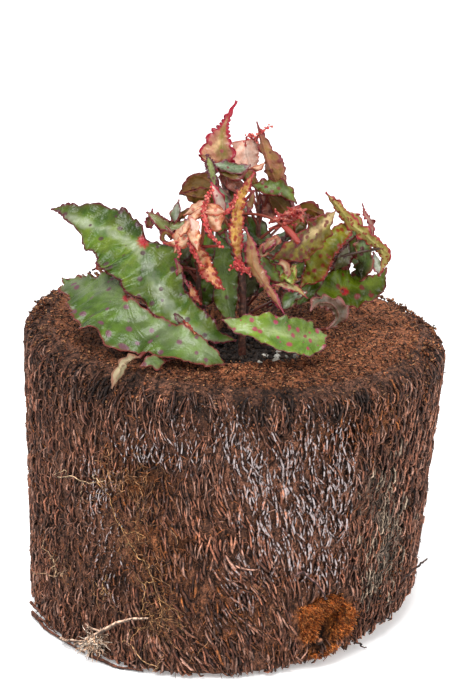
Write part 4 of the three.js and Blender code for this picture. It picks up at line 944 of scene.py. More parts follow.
def drum_skin(angle, along, out=0.0):
    """Points of the drum's skin. along runs in mm up the side from the base, over the shoulder and in
    over the sawn top, and out is how far a point stands proud."""
    turn = np.clip((along - SIDE_TOP) / SHOULDER, 0, math.pi / 2)
    inward = np.maximum(along - SIDE_TOP - ARC, 0)
    z = np.minimum(along, SIDE_TOP) + SHOULDER * np.sin(turn)
    radius = RADIUS - SHOULDER * (1 - np.cos(turn)) - inward
    radius = radius * plan(angle) * taper(angle, z) + scar_relief(angle, z) + out * np.cos(turn)
    x, y = radius * np.cos(angle), radius * np.sin(angle)
    return np.stack([x, y, z * top_height(x, y) / HEIGHT + out * np.sin(turn)], -1)


def in_well(angle, out, z):
    """Points at a distance from the middle of the planting hole."""
    x, y = WELL["x"] + out * np.cos(angle), WELL["y"] + out * np.sin(angle)
    return np.stack(np.broadcast_arrays(x, y, z), -1)


def top_skin(angle, share, out=0.0):
    """Points of the sawn top: share runs from 0 at its outer edge to 1 at the planting hole."""
    edge = drum_skin(angle, SIDE_TOP + ARC)
    across = edge + (in_well(angle, WELL["radius"], 0.0) - edge) * np.asarray(share)[..., None]
    x, y = across[..., 0], across[..., 1]
    return np.stack([x, y, top_height(x, y) + out], -1)


# ---------------------------------------------------------------- what grows where on the drum
# Patches are (angle, height, half width and half height, strength): degrees and mm on the side.
LEANS = [(-80, 58, 20, 30, 0.3), (-104, 14, 14, 22, 0.5), (-88, 20, 10, 20, 0.3), (-20, 50, 24, 60, -0.14),
         (-48, 40, 8, 22, -0.1), (60, 60, 30, 40, 0.25), (120, 30, 25, 30, -0.3), (-170, 60, 20, 40, 0.12)]
# SILVER: where the strands' crests turn silvery grey, partly their own weathered colour and partly a
# painted highlight.
SILVER = [(-90, 90, 5, 12, 0.7), (-84, 76, 6, 14, 0.8), (-76, 62, 8, 16, 0.9), (-68, 52, 8, 14, 0.9),
          (-67, 84, 8, 13, 1.0), (-61, 66, 6, 18, 0.8), (-72, 70, 6, 14, 0.5), (-63, 40, 6, 8, 0.6),
          (-115, 83, 8, 5, 0.9), (-127, 60, 6, 12, 1.1), (-125, 40, 5, 12, 1.1), (-104, 86, 6, 12, 0.5),
          (-90, 34, 10, 16, 0.3), (100, 60, 20, 30, 0.5), (20, 70, 12, 16, 0.4)]
LICHEN = [(-47, 66, 4, 9, 0.6), (-40, 50, 7, 18, 0.8), (-33, 34, 6, 14, 0.8), (-42, 25, 6, 8, 0.8),
          (45, 35, 16, 20, 0.5)]
RUST = [(-52, 88, 14, 9, 0.9), (-116, 70, 9, 9, 0.7), (-110, 45, 10, 14, 0.5), (-62, 16, 9, 12, 0.6),
        (-90, 22, 12, 14, 0.35), (150, 70, 14, 12, 0.6), (80, 30, 18, 16, 0.5)]
PITS = [(-154, 39, 3.5, 6, 1.0), (-123, 32, 3, 6, 1.0), (-133, 88, 2.5, 5, 0.8), (-57, 90, 3, 4, 0.7),
        (-43, 76, 2.5, 7, 0.8), (-26, 56, 3, 8, 0.6), (-79, 90, 3, 3, 0.6), (-103, 50, 2, 4, 0.6),
        (30, 50, 4, 8, 0.8), (95, 80, 4, 6, 0.8), (160, 40, 4, 8, 0.8)]
FELTED = [(-152, 55, 16, 48, 0.5), (-135, 30, 12, 18, 0.5), (-118, 46, 9, 18, 0.75), (-102, 28, 9, 14, 0.7),
          (-92, 58, 7, 12, 0.5), (-78, 22, 8, 8, 0.4), (-48, 60, 6, 12, 0.5), (-30, 30, 8, 12, 0.5),
          (60, 30, 20, 18, 0.6), (140, 60, 16, 22, 0.6)]
BOLD = [(-78, 55, 18, 34, 0.8), (-98, 30, 12, 26, 0.9), (-110, 12, 16, 14, 1.0), (-84, 14, 12, 14, 0.7),
        (-30, 60, 10, 20, 0.3), (60, 60, 30, 30, 0.7), (150, 50, 30, 30, 0.5)]
CLEFT = [(-59.6, 18, 1.0, 4.0, 1.0), (-61.6, 13, 1.2, 3.0, 1.0), (-64.5, 9, 3.2, 2.0, 1.0)]
# Outlines of the scar's velvet, in degrees and mm.
LOBES = [[(-72.1, 25.7), (-66.1, 27.4), (-57.5, 26.2), (-58.4, 21.9), (-62.3, 17.7), (-66.6, 11.6),
          (-70.3, 12.6), (-71.7, 20.5)],
         [(-56.6, 23.6), (-53.1, 20), (-52.7, 13.4), (-56.2, 10.3), (-60.4, 9.4), (-58.3, 16.4)],
         [(-68.4, 6.6), (-64, 5.8), (-59, 8.4), (-58.6, 6.4), (-63, 3.9), (-68.4, 4.9)]]
BODY, BODY_RUST, BODY_CRUST, BODY_TOP, VELVET = "#6b4737", "#80491f", "#786a5e", "#925839", "#c47434"
BROWNS = ["#543124", "#704836", "#865a46", "#926c5c", "#80503c", "#603a2a"]
LICHENS = ["#806e5e", "#9e8a76", "#605044"]
RUSTS = ["#7a4422", "#94562b", "#663a1d"]
TOPS = ["#80482c", "#9c5c3a", "#b07650", "#4a281c", "#b48058", "#683a24"]
VELVETS = ["#cc7230", "#b86026", "#dc8a48", "#a0501c"]
SOIL_BODY = "#2a1d17"
SOILS = ["#2a1d18", "#3a2920", "#1c1310", "#4a3628"]
GRITS = ["#bdb8ab", "#8f8b80", "#d5d1c6"]
UP = (0.0, 0.0, 1.0)


def cover(angle, height, patches):
    """How strongly the patches cover a place."""
    total = 0
    for middle, level, wide, tall, strength in patches:
        off = (np.degrees(angle) - middle + 180) % 360 - 180
        total = total + strength * np.exp(-((off / wide) ** 2) - ((height - level) / tall) ** 2)
    return total


def lobe_depth(angle, along):
    """How many mm a place lies inside the outline of the nearest velvet lobe, below 0 outside."""
    across, up = np.broadcast_arrays(np.degrees(angle), along)
    deepest = np.full(across.shape, -99.0)
    for outline in LOBES:
        away = np.full(across.shape, 99.0)
        inside = np.zeros(across.shape, bool)
        for (x0, y0), (x1, y1) in zip(outline, outline[1:] + outline[:1]):
            run, rise = (x1 - x0) * MM_PER_DEGREE, y1 - y0
            x, y = (across - x0) * MM_PER_DEGREE, up - y0
            share = np.clip((x * run + y * rise) / (run**2 + rise**2), 0, 1)
            away = np.minimum(away, np.hypot(x - share * run, y - share * rise))
            inside ^= ((up > y0) != (up > y1)) & ((x * rise < y * run) == (rise > 0))
        deepest = np.maximum(deepest, np.where(inside, away, -away))
    return deepest


def velvet_rise(angle, along):
    """How far the velvet's lobes fill the scar's hollow."""
    filled = np.exp(-((scar_distance(angle, along) / 0.75) ** 2))
    return VELVET_RISE * filled * np.clip(lobe_depth(angle, along) / 2 + 0.4, 0, 1)


def rim_shade(angle, along):
    """The painted shade along the torn edge under the shoulder, strongest at the front, 1 away from it."""
    torn = 1 + 0.7 * ripples(angle, along / 2, seeded("rim"), 9, 9, RADIUS)
    torn = torn * (0.62 - 0.38 * np.sin(angle))
    below, over = RIM_FADE
    fade = np.where(along > SIDE_TOP + 1, below + over * np.clip(-np.sin(angle), 0, 1), below)
    return np.clip(1 - RIM_SHADE * torn * np.exp(-(((along - SIDE_TOP - 1) / fade) ** 2)), 0.2, 1)


def side_shade(angle, along, draw):
    """The tint factor of the side: uneven over some 40 mm, and with painted shade along the torn edge."""
    return ((1 + 0.3 * ripples(angle, along, draw, 40, 7, RADIUS)) * rim_shade(angle, along))[..., None]


def top_shade(angle, share):
    """The painted shade of the sawn top, darker at its front edge and on its left."""
    front, left = np.clip(-np.sin(angle), 0, 1), np.clip(-np.cos(angle), 0, 1)
    return (1 - 0.42 * front * np.exp(-((share / 0.5) ** 2))) * (1 - 0.3 * left)


def drum_piece(kind, parts, material):
    place("fern_drum." + kind, parts, material, "fern_drum")


def fibre_piece(kind, paths, radii, crest, tint, silver=0):
    """A piece of the drum made of three-sided fibres."""
    parts = Parts()
    add_tubes(parts, paths, radii, 3, crest, tint=tint, silver=silver)
    drum_piece(kind, parts, FIBRE)


def drum_core():
    """The felted body that shows between the strands, with its planting hole and the scar."""
    draw = seeded("core")
    angle = np.linspace(-math.pi, math.pi, CORE_COLUMNS, endpoint=False)[None, :]
    foot = foot_height(angle)
    along = foot + (SIDE_TOP + ARC - foot) * np.linspace(0, 1, CORE_ROWS)[:, None]
    lumps = ripples(angle, along / 2.5, draw, 4, 9, RADIUS)
    pits = PIT_DEPTH * cover(angle, along, PITS) + CLEFT_DEPTH * cover(angle, along, CLEFT)
    side = drum_skin(angle, along, velvet_rise(angle, along) - CORE_INSET - CORE_LUMPS * lumps - pits)
    share = np.linspace(0.03, 1, TOP_ROWS)[:, None]
    top = top_skin(angle, share, TOP_LUMPS * ripples(angle, share * 40, draw, 8, 7, 50.0) - TOP_INSET)
    base = (RADIUS - FOOT_INSET) * outward(angle)
    rings = np.concatenate([base, side, top, top[-1:] - (0, 0, WALL_DEPTH)])
    # painted shade along the torn edge under the shoulder, through side_shade
    body = blend(linear(BODY), BODY_RUST, cover(angle, along, RUST)) * side_shade(angle, along, draw)
    body = blend(body, VELVET, lobe_depth(angle, along) + 0.5)
    body = blend(body, BODY_CRUST, cover(angle, along, LICHEN))
    tints = np.full(rings.shape, linear(BODY))
    # painted shade in the pits and the cleft, darker the deeper they are
    tints[1 : CORE_ROWS + 1] = body * (1 - 0.85 * np.clip(pits / PIT_DEPTH, 0, 1)[..., None])
    # painted shade over the sawn top, darker at its front edge and on its left
    tints[CORE_ROWS + 1 : -1] = linear(BODY_TOP) * top_shade(angle, share)[..., None]
    parts = Parts()
    add_skin(parts, rings, tints)
    drum_piece("core", parts, FELT)


def spread_on_side(draw, count):
    """Random places on the drum's side, clear of the scar and seldom in a pit."""
    angle = draw.uniform(-math.pi, math.pi, count)
    along = draw.uniform(0, SIDE_TOP + 6, count)
    pitted = cover(angle, along, PITS) > draw.uniform(0.2, 1.2, count)
    kept = (scar_distance(angle, along) > SCAR_FREE) & ~pitted & (along > foot_height(angle))
    return angle[kept], along[kept]


def rootlets(draw, centres, heading, half_length, bow, radius, tail):
    """Short bowed rootlets of three points through the centres, and their radii."""
    count = len(centres)
    half = draw.uniform(*half_length, (count, 1))
    bend = unit(draw.normal(size=(count, 3))) * half * bow
    paths = np.stack([centres - heading * half, centres + bend, centres + heading * half], 1)
    return paths, draw.uniform(*radius, (count, 1)) * np.array([[0.8, 1.0, tail]])


def dust(draw, angle, along, rusty):
    """Brown tints, a share of them rusty, and more where rust lies."""
    count = len(angle)
    taken = (draw.uniform(0, 1, count) < rusty + cover(angle, along, RUST))[:, None]
    return np.where(taken, pick(draw, RUSTS, count), pick(draw, BROWNS, count))


def drum_strands(index):
    """Root strands over each other on the drum's side, each dipping into the felt at its ends."""
    draw = seeded("strands", index)
    angle, along = spread_on_side(draw, STRANDS)
    kept = draw.uniform(0, 1, len(angle)) > cover(angle, along, FELTED)
    angle, along = angle[kept], along[kept]
    count = len(angle)
    each = (count, 1)
    silvery = cover(angle, along, SILVER)
    matted = np.clip(cover(angle, along, FELTED) + 0.4 * silvery, 0, 1)[:, None]
    crusted = np.clip(cover(angle, along, LICHEN), 0, 1)[:, None]
    bold = np.clip(cover(angle, along, BOLD) + 0.35, 0, 1)[:, None]

    length = draw.uniform(*STRAND_LENGTH, each) * (1 - 0.4 * matted)
    lean = cover(angle, along, LEANS) + 0.25 * ripples(angle, along, draw, 24, 7, RADIUS)
    lean = (lean + draw.normal(0, 1, count) * draw.choice([0.09, 0.32], count, p=[0.75, 0.25]))[:, None]
    share = np.linspace(-0.5, 0.5, STRAND_STEPS)[None, :]
    curl = np.abs(2 * share) ** CURL
    turns = length / draw.uniform(*SWAY_LENGTH, each)
    sway = draw.uniform(*SWAY, each)
    sway = sway * np.sin(2 * math.pi * share * turns + draw.uniform(0, 7, each))
    aside = sway - share * length * np.sin(lean)
    up = share * length * np.cos(lean)
    lowest = foot_height(angle)[:, None] * draw.uniform(0.45, 1.0, each)
    rise = draw.uniform(*STRAND_RISE, each) - END_DIP * curl
    rise = rise + STRAY_RISE * (draw.uniform(0, 1, each) < STRAY)
    paths = drum_skin(angle[:, None] + aside / RADIUS, np.maximum(along[:, None] + up, lowest), rise)
    paths[..., 2] = np.maximum(paths[..., 2], 0.8)

    thin, thick = STRAND_RADIUS
    radii = thin + (thick - thin) * bold * draw.uniform(0.1, 1, each)
    radii = radii * (1 - 0.2 * curl) * draw.uniform(0.78, 1.22, (count, STRAND_STEPS)) * (1 - 0.3 * crusted)
    # painted shade along the torn edge under the shoulder, through side_shade
    tint = pick(draw, BROWNS, count) * draw.uniform(0.85, 1.25, each) * side_shade(angle, along, draw)
    for patches, colours, most in ((RUST, RUSTS, 0.4), (LICHEN, LICHENS, 0.95)):
        taken = draw.uniform(0, 1, count) < most * cover(angle, along, patches)
        tint = np.where(taken[:, None], pick(draw, colours, count), tint)
    silver = np.clip(1.15 * silvery + 0.2, 0, 1) * draw.uniform(0.4, 1.2, count)
    fibre_piece(f"strands_{index + 1}", paths, radii, outward(angle), tint, silver)


def side_crumbs():
    """Crumbs of root dust in the gaps between the strands."""
    draw = seeded("side_crumbs")
    angle, along = spread_on_side(draw, SIDE_CRUMBS)
    sizes = grain_sizes(draw, "side", len(angle))
    tint = dust(draw, angle, along, 0.3)
    parts = Parts()
    add_lumps(parts, drum_skin(angle, along, draw.uniform(-0.8, 0.5, len(angle))), sizes, draw, tint=tint)
    drum_piece("side_crumbs", parts, FELT)


def drum_fuzz():
    """Thin crooked rootlets over and between the strands."""
    draw = seeded("fuzz")
    angle, along = spread_on_side(draw, FUZZ)
    kept = draw.uniform(0, 1, len(angle)) < 0.4 + cover(angle, along, FELTED)
    angle, along = angle[kept], along[kept]
    centres = drum_skin(angle, along, draw.uniform(-0.7, 0.75, len(angle)))
    heading = unit(draw.normal(size=centres.shape) * (1, 1, 1.3))
    out = outward(angle)
    heading = unit(heading - 0.8 * out * (heading * out).sum(-1, keepdims=True))
    paths, radii = rootlets(draw, centres, heading, **FUZZ_SHAPE)
    # painted shade along the torn edge under the shoulder
    tint = dust(draw, angle, along, 0.25) * 1.15 * rim_shade(angle, along)[:, None]
    fibre_piece("fuzz", paths, radii, out, tint)


def spread_on_top(draw, count, shoulder_share):
    """Random places on the shoulder and the sawn top, and the painted shade at each."""
    angle = draw.uniform(-math.pi, math.pi, count)
    over = draw.uniform(0, 1, count) < shoulder_share
    along = SIDE_TOP - 4 + (ARC + 5) * draw.uniform(0, 1, count)
    share = draw.uniform(0, 1, count) ** 1.15
    rise = draw.uniform(-0.3, 0.4, count)
    places = np.where(over[:, None], drum_skin(angle, along, rise), top_skin(angle, share, rise))
    return places, np.where(over, rim_shade(angle, along), top_shade(angle, share))[:, None]


def drum_top():
    """Sawn root ends and crumbs over the shoulder and the top, and piles of crumbs by its far edge."""
    draw = seeded("top")
    # the stubs and crumbs carry the painted shade of the rim and the top
    centres, shade = spread_on_top(draw, STUBS, 0.4)
    heading = unit(draw.normal(size=centres.shape) * (1, 1, 0.6))
    paths, radii = rootlets(draw, centres, heading, **STUB_SHAPE)
    fibre_piece("top_stubs", paths, radii, UP, shade * pick(draw, TOPS, STUBS))
    crumbs = Parts()
    centres, shade = spread_on_top(draw, TOP_CRUMBS, 0.3)
    sizes = grain_sizes(draw, "top", TOP_CRUMBS)
    add_lumps(crumbs, centres, sizes, draw, tint=shade * pick(draw, TOPS, TOP_CRUMBS))
    heaped = PILES * PILE_CRUMBS
    angle = np.repeat(np.radians(draw.uniform(-30, 210, PILES)), PILE_CRUMBS)
    angle = angle + draw.normal(0, 0.012, heaped)
    along = np.repeat(SIDE_TOP + draw.uniform(5, 13, PILES), PILE_CRUMBS) + draw.normal(0, 0.8, heaped)
    rise = np.tile(np.linspace(0, PILE_RISE, PILE_CRUMBS), PILES)
    rise = rise * np.repeat(draw.uniform(0.4, 1, PILES), PILE_CRUMBS)
    sizes = grain_sizes(draw, "pile", heaped, (0.7, 1.2))
    tint = 0.7 * pick(draw, TOPS, heaped)
    add_lumps(crumbs, drum_skin(angle, along, rise), sizes, draw, tint=tint)
    drum_piece("top_crumbs", crumbs, FELT)


def drum_scar():
    """Short orange velvet round the cleft that a frond left."""
    draw = seeded("scar")
    angle = np.radians(draw.uniform(-78, -48, HAIRS * 5))
    along = draw.uniform(3, 31, HAIRS * 5)
    kept = lobe_depth(angle, along) + 0.25 * draw.normal(size=len(along)) > 0
    angle, along = angle[kept][:HAIRS], along[kept][:HAIRS]
    count = len(along)
    level = velvet_rise(angle, along)
    root = drum_skin(angle, along, level - 1.0)
    tip = drum_skin(angle, along, level + draw.uniform(0.3, 1.1, count)) + draw.normal(0, 0.5, (count, 3))
    paths = np.stack([root, (root + tip) / 2 + draw.normal(0, 0.15, (count, 3)), tip], 1)
    fibre_piece("scar_velvet", paths, [HAIR_RADII], UP, 1.3 * pick(draw, VELVETS, count))


# Loose roots on the front, each a line of (angle, height, stand-off) with its radius and colour.
LOOSE_ROOTS = [
    ([(-144, 62, 0.8), (-139, 64, 1.2), (-133, 65, 0.9), (-127, 67, 1.2)], 0.28, "#dcb890"),
    ([(-128, 67, 1.2), (-124, 62, 0.9), (-121, 55, 1.2), (-118, 48, 1.0)], 0.2, "#c0905c"),
    ([(-118, 48, 1.2), (-115, 44, 1.4), (-113, 41, 1.0), (-111, 36, 1.4)], 0.25, "#cc9c68"),
    ([(-111, 36, 1.2), (-109, 28, 1.6), (-109, 24, 1.0), (-112, 21, 1.5)], 0.22, "#c49060"),
    ([(-112, 21, 1.5), (-115, 17, 1.2), (-118, 12.5, 1.5)], 0.2, "#c49060"),
    ([(-119, 11, 1.2), (-117, 9, 1.4), (-114, 6, 1.2), (-110, 4, 1.2)], 0.26, "#d8a878"),
    ([(-125.4, 34, 1.0), (-126, 29, 1.2), (-126.6, 24, 0.9)], 0.24, "#b08658"),
    ([(-147, 24, 1.0), (-143, 27, 1.4), (-140, 30, 1.0)], 0.26, "#c8a07c"),
    ([(-147, 24, 1.0), (-146, 29, 1.2), (-147, 31, 1.6)], 0.2, "#dcb890"),
    ([(-121, 54, 1.0), (-119, 52, 1.6), (-116, 53, 1.2), (-113, 51, 1.0)], 0.16, "#c0905c"),
    ([(-116, 36, 1.0), (-113, 32, 1.6), (-114, 27, 1.2), (-111, 23, 1.0)], 0.16, "#c0905c"),
    ([(-110, 30, 1.0), (-106, 27, 1.6), (-104, 22, 1.2), (-103, 17, 1.0)], 0.16, "#b48450"),
    ([(-73, 38.4, 0.6), (-71, 39.5, 2), (-68, 36, 3), (-65.5, 30, 2.5), (-62, 26.5, 1)], 0.5, "#86605a"),
    ([(-65.5, 11.5, -2.0), (-65, 10.6, 0.0), (-64.6, 10.2, 1.4)], 1.5, "#a06c50"),
    ([(-26, 18, 0.2), (-22, 20.5, 2.0), (-18, 22, 4.4), (-15, 23, 5.6)], 0.55, "#4a2f26"),
    ([(-34, 13, 0.5), (-30, 14.5, 1.8), (-27, 16, 3.4)], 0.55, "#5a3a2c"),
    ([(-40, 8, 0.5), (-37, 8.5, 1.8), (-34, 7.5, 3.2)], 0.5, "#4a2f26"),
    ([(-50, 4, 0.5), (-47.5, 2.2, 1.6), (-46, 0.9, 2.4)], 0.4, "#4a2f26"),
]
# Where fine tan rootlets tangle over the side: (angle, height, half width, half height, how many).
WEBS = [(-118, 70, 8, 10, 54), (-114, 48, 6, 10, 34), (-110, 26, 6, 10, 36), (-106, 14, 6, 6, 8),
        (-128, 26, 5, 8, 6), (-141, 30, 4, 8, 5), (-84, 30, 6, 8, 5), (120, 40, 16, 20, 14),
        (40, 20, 16, 12, 10)]
WEB_COLOURS = ["#9c6a44", "#b08058", "#7e5432"]
# Broken rods under the lower left edge: points in mm (x, y, z) and the radius.
RODS = [([(-73, -22, 1.6), (-66, -35, 1.2), (-52, -53, 1.0)], 0.75),
        ([(-74, -18, 4.4), (-68, -29, 3.6), (-62, -38, 3.4)], 0.6),
        ([(-73, -24, 3.4), (-67, -33, 2.6), (-63, -39, 2.0)], 0.5),
        ([(-50, -55, 1.0), (-42, -62, 0.9), (-31, -67, 1.0)], 0.8)]
ROD_COLOUR = "#6e402e"
# The pale tuft: stalks of (angle, height, stand-off) with the radius, and the middle of its roots.
TUFT_STALKS = [
    ([(-144, 2.5, 1.5), (-138, 4.6, 2.4), (-132, 7.2, 2.2)], 0.65),
    ([(-137, 3.4, 1.8), (-134, 5.6, 2.4), (-131, 8.0, 2.4)], 0.6),
    ([(-132, 7.6, 2.4), (-127, 12.5, 2.4), (-122, 17.5, 2.2), (-117, 20.6, 2.0), (-112.6, 22, 1.4)], 0.8),
    ([(-127, 12.5, 2.4), (-131, 13.2, 2.2), (-133, 12.8, 1.4)], 0.5),
]
TUFT, TUFT_ROOTS, TUFT_STALK_COLOUR = (-129.5, 8.2, 2.2), 120, "#dcb69c"
TUFT_COLOURS = ["#ecccb0", "#dcae8c", "#f0dcc8"]


def on_side(points):
    """Points given as (angle, height, stand-off) in degrees and mm, in mm in space."""
    angle, along, out = np.array(points, float).T
    return drum_skin(np.radians(angle), along, out)


def add_root(parts, points, radius, colour, draw, steps=26, jitter=0.5):
    """A crooked root along given points, thinner towards its end."""
    share = np.linspace(0, 1, steps)
    path, _ = smooth_curve(points, share)
    bends = sum(np.sin(share[:, None] * k * 7 + draw.uniform(0, 7, 3)) / k**0.7 for k in (1, 2, 4))
    path = path + jitter * bends * np.sin(share * math.pi)[:, None]
    radii = radius * (1 - 0.5 * share) * (1 + 0.15 * np.sin(share * 50))
    tint = linear(colour) * draw.uniform(0.8, 1.1)
    add_tubes(parts, path[None], radii, 6 if radius > 0.3 else 4, UP, tint=tint[None], silver=0)


def loose_roots():
    """Roots, tangles, rods and the pale tuft that stand off the drum's side."""
    draw = seeded("roots")
    flat = (1, 0.4, 1)  # side rootlets reach less towards the viewer
    parts = Parts()
    for points, radius, colour in LOOSE_ROOTS:
        path = on_side(points)
        add_root(parts, path, radius, colour, draw)
        for _ in range(4 if radius < 0.3 else 0):
            start = path[draw.integers(0, len(path))]
            reach = draw.normal(0, 3.0, 3) * flat
            middle = start + 0.5 * reach + draw.normal(0, 1.0, 3) * flat
            add_root(parts, [start, middle, start + reach], radius * 0.65, colour, draw, 16, 0.35)
    for angle, level, wide, tall, count in WEBS:
        for _ in range(count):
            line = [np.array([angle + wide * draw.normal(0, 0.6), level + tall * draw.normal(0, 0.6), 1.0])]
            turn = draw.uniform(-2.4, -0.7)
            for _ in range(3):
                turn = turn + draw.normal(0, 0.7)
                step = (2.0 * math.cos(turn), 2.6 * math.sin(turn), draw.uniform(-0.3, 0.4))
                line.append(line[-1] + step)
            line = np.clip(line, (-180, 2, 0.7), (180, 95, 1.8))
            colour = WEB_COLOURS[draw.integers(0, len(WEB_COLOURS))]
            add_root(parts, on_side(line), draw.uniform(0.12, 0.19), colour, draw, 12, 0.4)
    for points, radius in RODS:
        add_root(parts, points, radius, ROD_COLOUR, draw, jitter=0.2)
    for points, radius in TUFT_STALKS:
        add_root(parts, on_side(points), radius, TUFT_STALK_COLOUR, draw, jitter=0.25)
    middle = on_side([TUFT])[0]
    for _ in range(TUFT_ROOTS):
        reach = unit(draw.normal(size=3) * (1, 0.5, 0.8) + (0.35, -0.3, -0.25)) * draw.uniform(2.5, 7.5)
        bend = middle + 0.5 * reach + draw.normal(0, 0.9, 3)
        path = np.stack([middle + draw.normal(0, 0.8, 3), bend, middle + reach])
        path[:, 2] = np.maximum(path[:, 2], 0.6)
        add_root(parts, path, 0.2, TUFT_COLOURS[draw.integers(0, len(TUFT_COLOURS))], draw, 9, 0.35)
    drum_piece("loose_roots", parts, FIBRE)


# ---------------------------------------------------------------- soil and stems
def soil_bed():
    """The soil's domed surface, with crumbs and pale grit stones on it."""
    draw = seeded("soil")
    turn = np.linspace(0, 2 * math.pi, SOIL_COLUMNS, endpoint=False)
    reach = WELL["radius"] - SOIL_INSET
    rings = []
    for share in (1.0, *np.linspace(1, 0.03, SOIL_ROWS)):
        x, y = reach * share * np.cos(turn), reach * share * np.sin(turn)
        z = SOIL_TOP + SOIL_DOME * (1 - share**2)
        z = z + SOIL_LUMPS * ripples(x, y, seeded("ground"), 7)
        rings.append(in_well(turn, reach * share, z if rings else z - WALL_DEPTH))
    rings = np.array(rings)
    shades = ripples(rings[..., 0], rings[..., 1], draw, 12)[..., None]
    parts = Parts()
    add_skin(parts, rings, linear(SOIL_BODY) * (1 + 0.3 * shades))
    turn = draw.uniform(0, 2 * math.pi, SOIL_CRUMBS)
    out = reach * np.sqrt(draw.uniform(0, 1, SOIL_CRUMBS))
    level = SOIL_TOP + SOIL_DOME * (1 - (out / reach) ** 2) + draw.uniform(-0.2, 0.9, SOIL_CRUMBS)
    sizes = grain_sizes(draw, "soil", SOIL_CRUMBS)
    add_lumps(parts, in_well(turn, out, level), sizes, draw, tint=pick(draw, SOILS, SOIL_CRUMBS))
    place("soil.bed", parts, SOIL, "soil")
    grit = Parts()
    turn = math.pi * draw.uniform(-0.95, 0.25, GRIT)
    out = reach * draw.uniform(0.35, 0.97, GRIT)
    centres = in_well(turn, out, SOIL_TOP + draw.uniform(0.8, 1.9, GRIT))
    sizes = grain_sizes(draw, "grit", GRIT, (0.6, 1.2))
    add_lumps(grit, centres, sizes, draw, 2, 0.12, tint=pick(draw, GRITS, GRIT))
    place("soil.grit", grit, GRIT_STONE, "soil")


def stems():
    """Woody stems with swollen nodes."""
    for name, (line, radius) in STEMS.items():
        draw = np.random.default_rng(len(name) + int(radius * 10))
        share = np.linspace(0, 1, STEM_STEPS)
        path, _ = smooth_curve(line, share)
        nodes = np.maximum(0, np.cos(share * 2 * math.pi * 6 + 1)) ** 6
        swell = 0.16 * nodes + 0.05 * draw.normal(size=STEM_STEPS)
        parts = Parts()
        add_tubes(parts, path[None], radius * (1 + swell) * (1.05 - 0.25 * share), 12)
        place(name + ".bark", parts, BARK, name)


# ---------------------------------------------------------------- leaves
def half_widths(leaf, u):
    """The blade's half widths to the left and right of the midrib."""
    widths, _ = smooth_curve([row[3:] for row in leaf["spine"]], u)
    widths[:, 1] *= 1 - leaf["notch"] * np.exp(-(((u - leaf["heart"]) / NOTCH_SPAN) ** 2))
    return np.maximum(widths, END_WIDTH)


def saw(x):
    """Teeth that rise slowly and fall fast, from 0 to 1."""
    x = x % 1
    return np.where(x < 0.65, np.sin(x / 0.65 * math.pi / 2), (1 - x) / 0.35)


def scallop(x):
    """Round lobes with sharp notches between them, from 0 to 1."""
    return np.abs(np.sin(math.pi * x)) ** 0.6


def leaf_frame(leaf, u):
    """The midrib's points and, at each of them, the ways along it, to the leaf's left and up."""
    middle, slope = smooth_curve([row[:3] for row in leaf["spine"]], u)
    along = unit(slope)
    left = unit(np.cross(leaf["face"], along))
    return middle, along, left, unit(np.cross(along, left))


def add_shell(parts, points, half, both, **values):
    """Two sides of a grid of points, each half a thickness off it and closed along the border. The
    result is the border as numbers of the grid's points."""
    rows, columns, _ = points.shape
    faces = grid_quads(rows, columns)
    for face_up, turned in ((1, faces[:, ::-1]), (-1, faces)):
        parts.add(points + face_up * half, turned, upper=max(0, face_up, both), **values)
    index = np.arange(rows * columns).reshape(rows, columns)
    loop = np.concatenate([index[:, 0], index[-1, 1:], index[-2::-1, -1], index[0, -2:0:-1]])
    after = np.roll(loop, -1)
    parts.quads.append(np.stack([loop, loop + index.size, after + index.size, after], -1))
    return np.append(loop, loop[0])


def add_margin(parts, path, radii, bead, draw, spot):
    """The margin's rounded edge, with glands on its teeth if they have a bead's radius."""
    values = dict(upper=1, rim=0, stalk=0)
    add_tubes(parts, path[None], radii, 4, **values, leaf=spot)
    if bead:
        tips = 1 + np.flatnonzero((radii[1:-1] > radii[:-2]) & (radii[1:-1] >= radii[2:]))
        sizes = bead * draw.uniform(0.6, 1.2, (len(tips), 1)) * np.ones(3)
        add_lumps(parts, path[tips], sizes, draw, 1, 0.08, **values, leaf=spot.repeat(len(tips), axis=0))


def add_chain(parts, leaf, radius, draw, count, reach):
    """Beads that zigzag along the midrib of a shoot, each mapped somewhere on its skin."""
    spots, _, aside, above = leaf_frame(leaf, np.linspace(0, 1, count))
    swing = radius * (0.9 * np.where(np.arange(count) % 2, 1, -1) + draw.normal(0, 0.3, count))
    spots = spots + aside * swing[:, None] + above * (0.4 + draw.normal(0, 0.3, (count, 1)))
    sizes = radius * draw.uniform(0.7, 1.25, (count, 1)) * np.ones(3)
    maps = np.column_stack([reach * draw.uniform(0, 1, count), draw.uniform(-9, 9, count)])
    add_lumps(parts, spots, sizes, draw, 1, 0.1, upper=1, rim=5, stalk=0, leaf=maps)


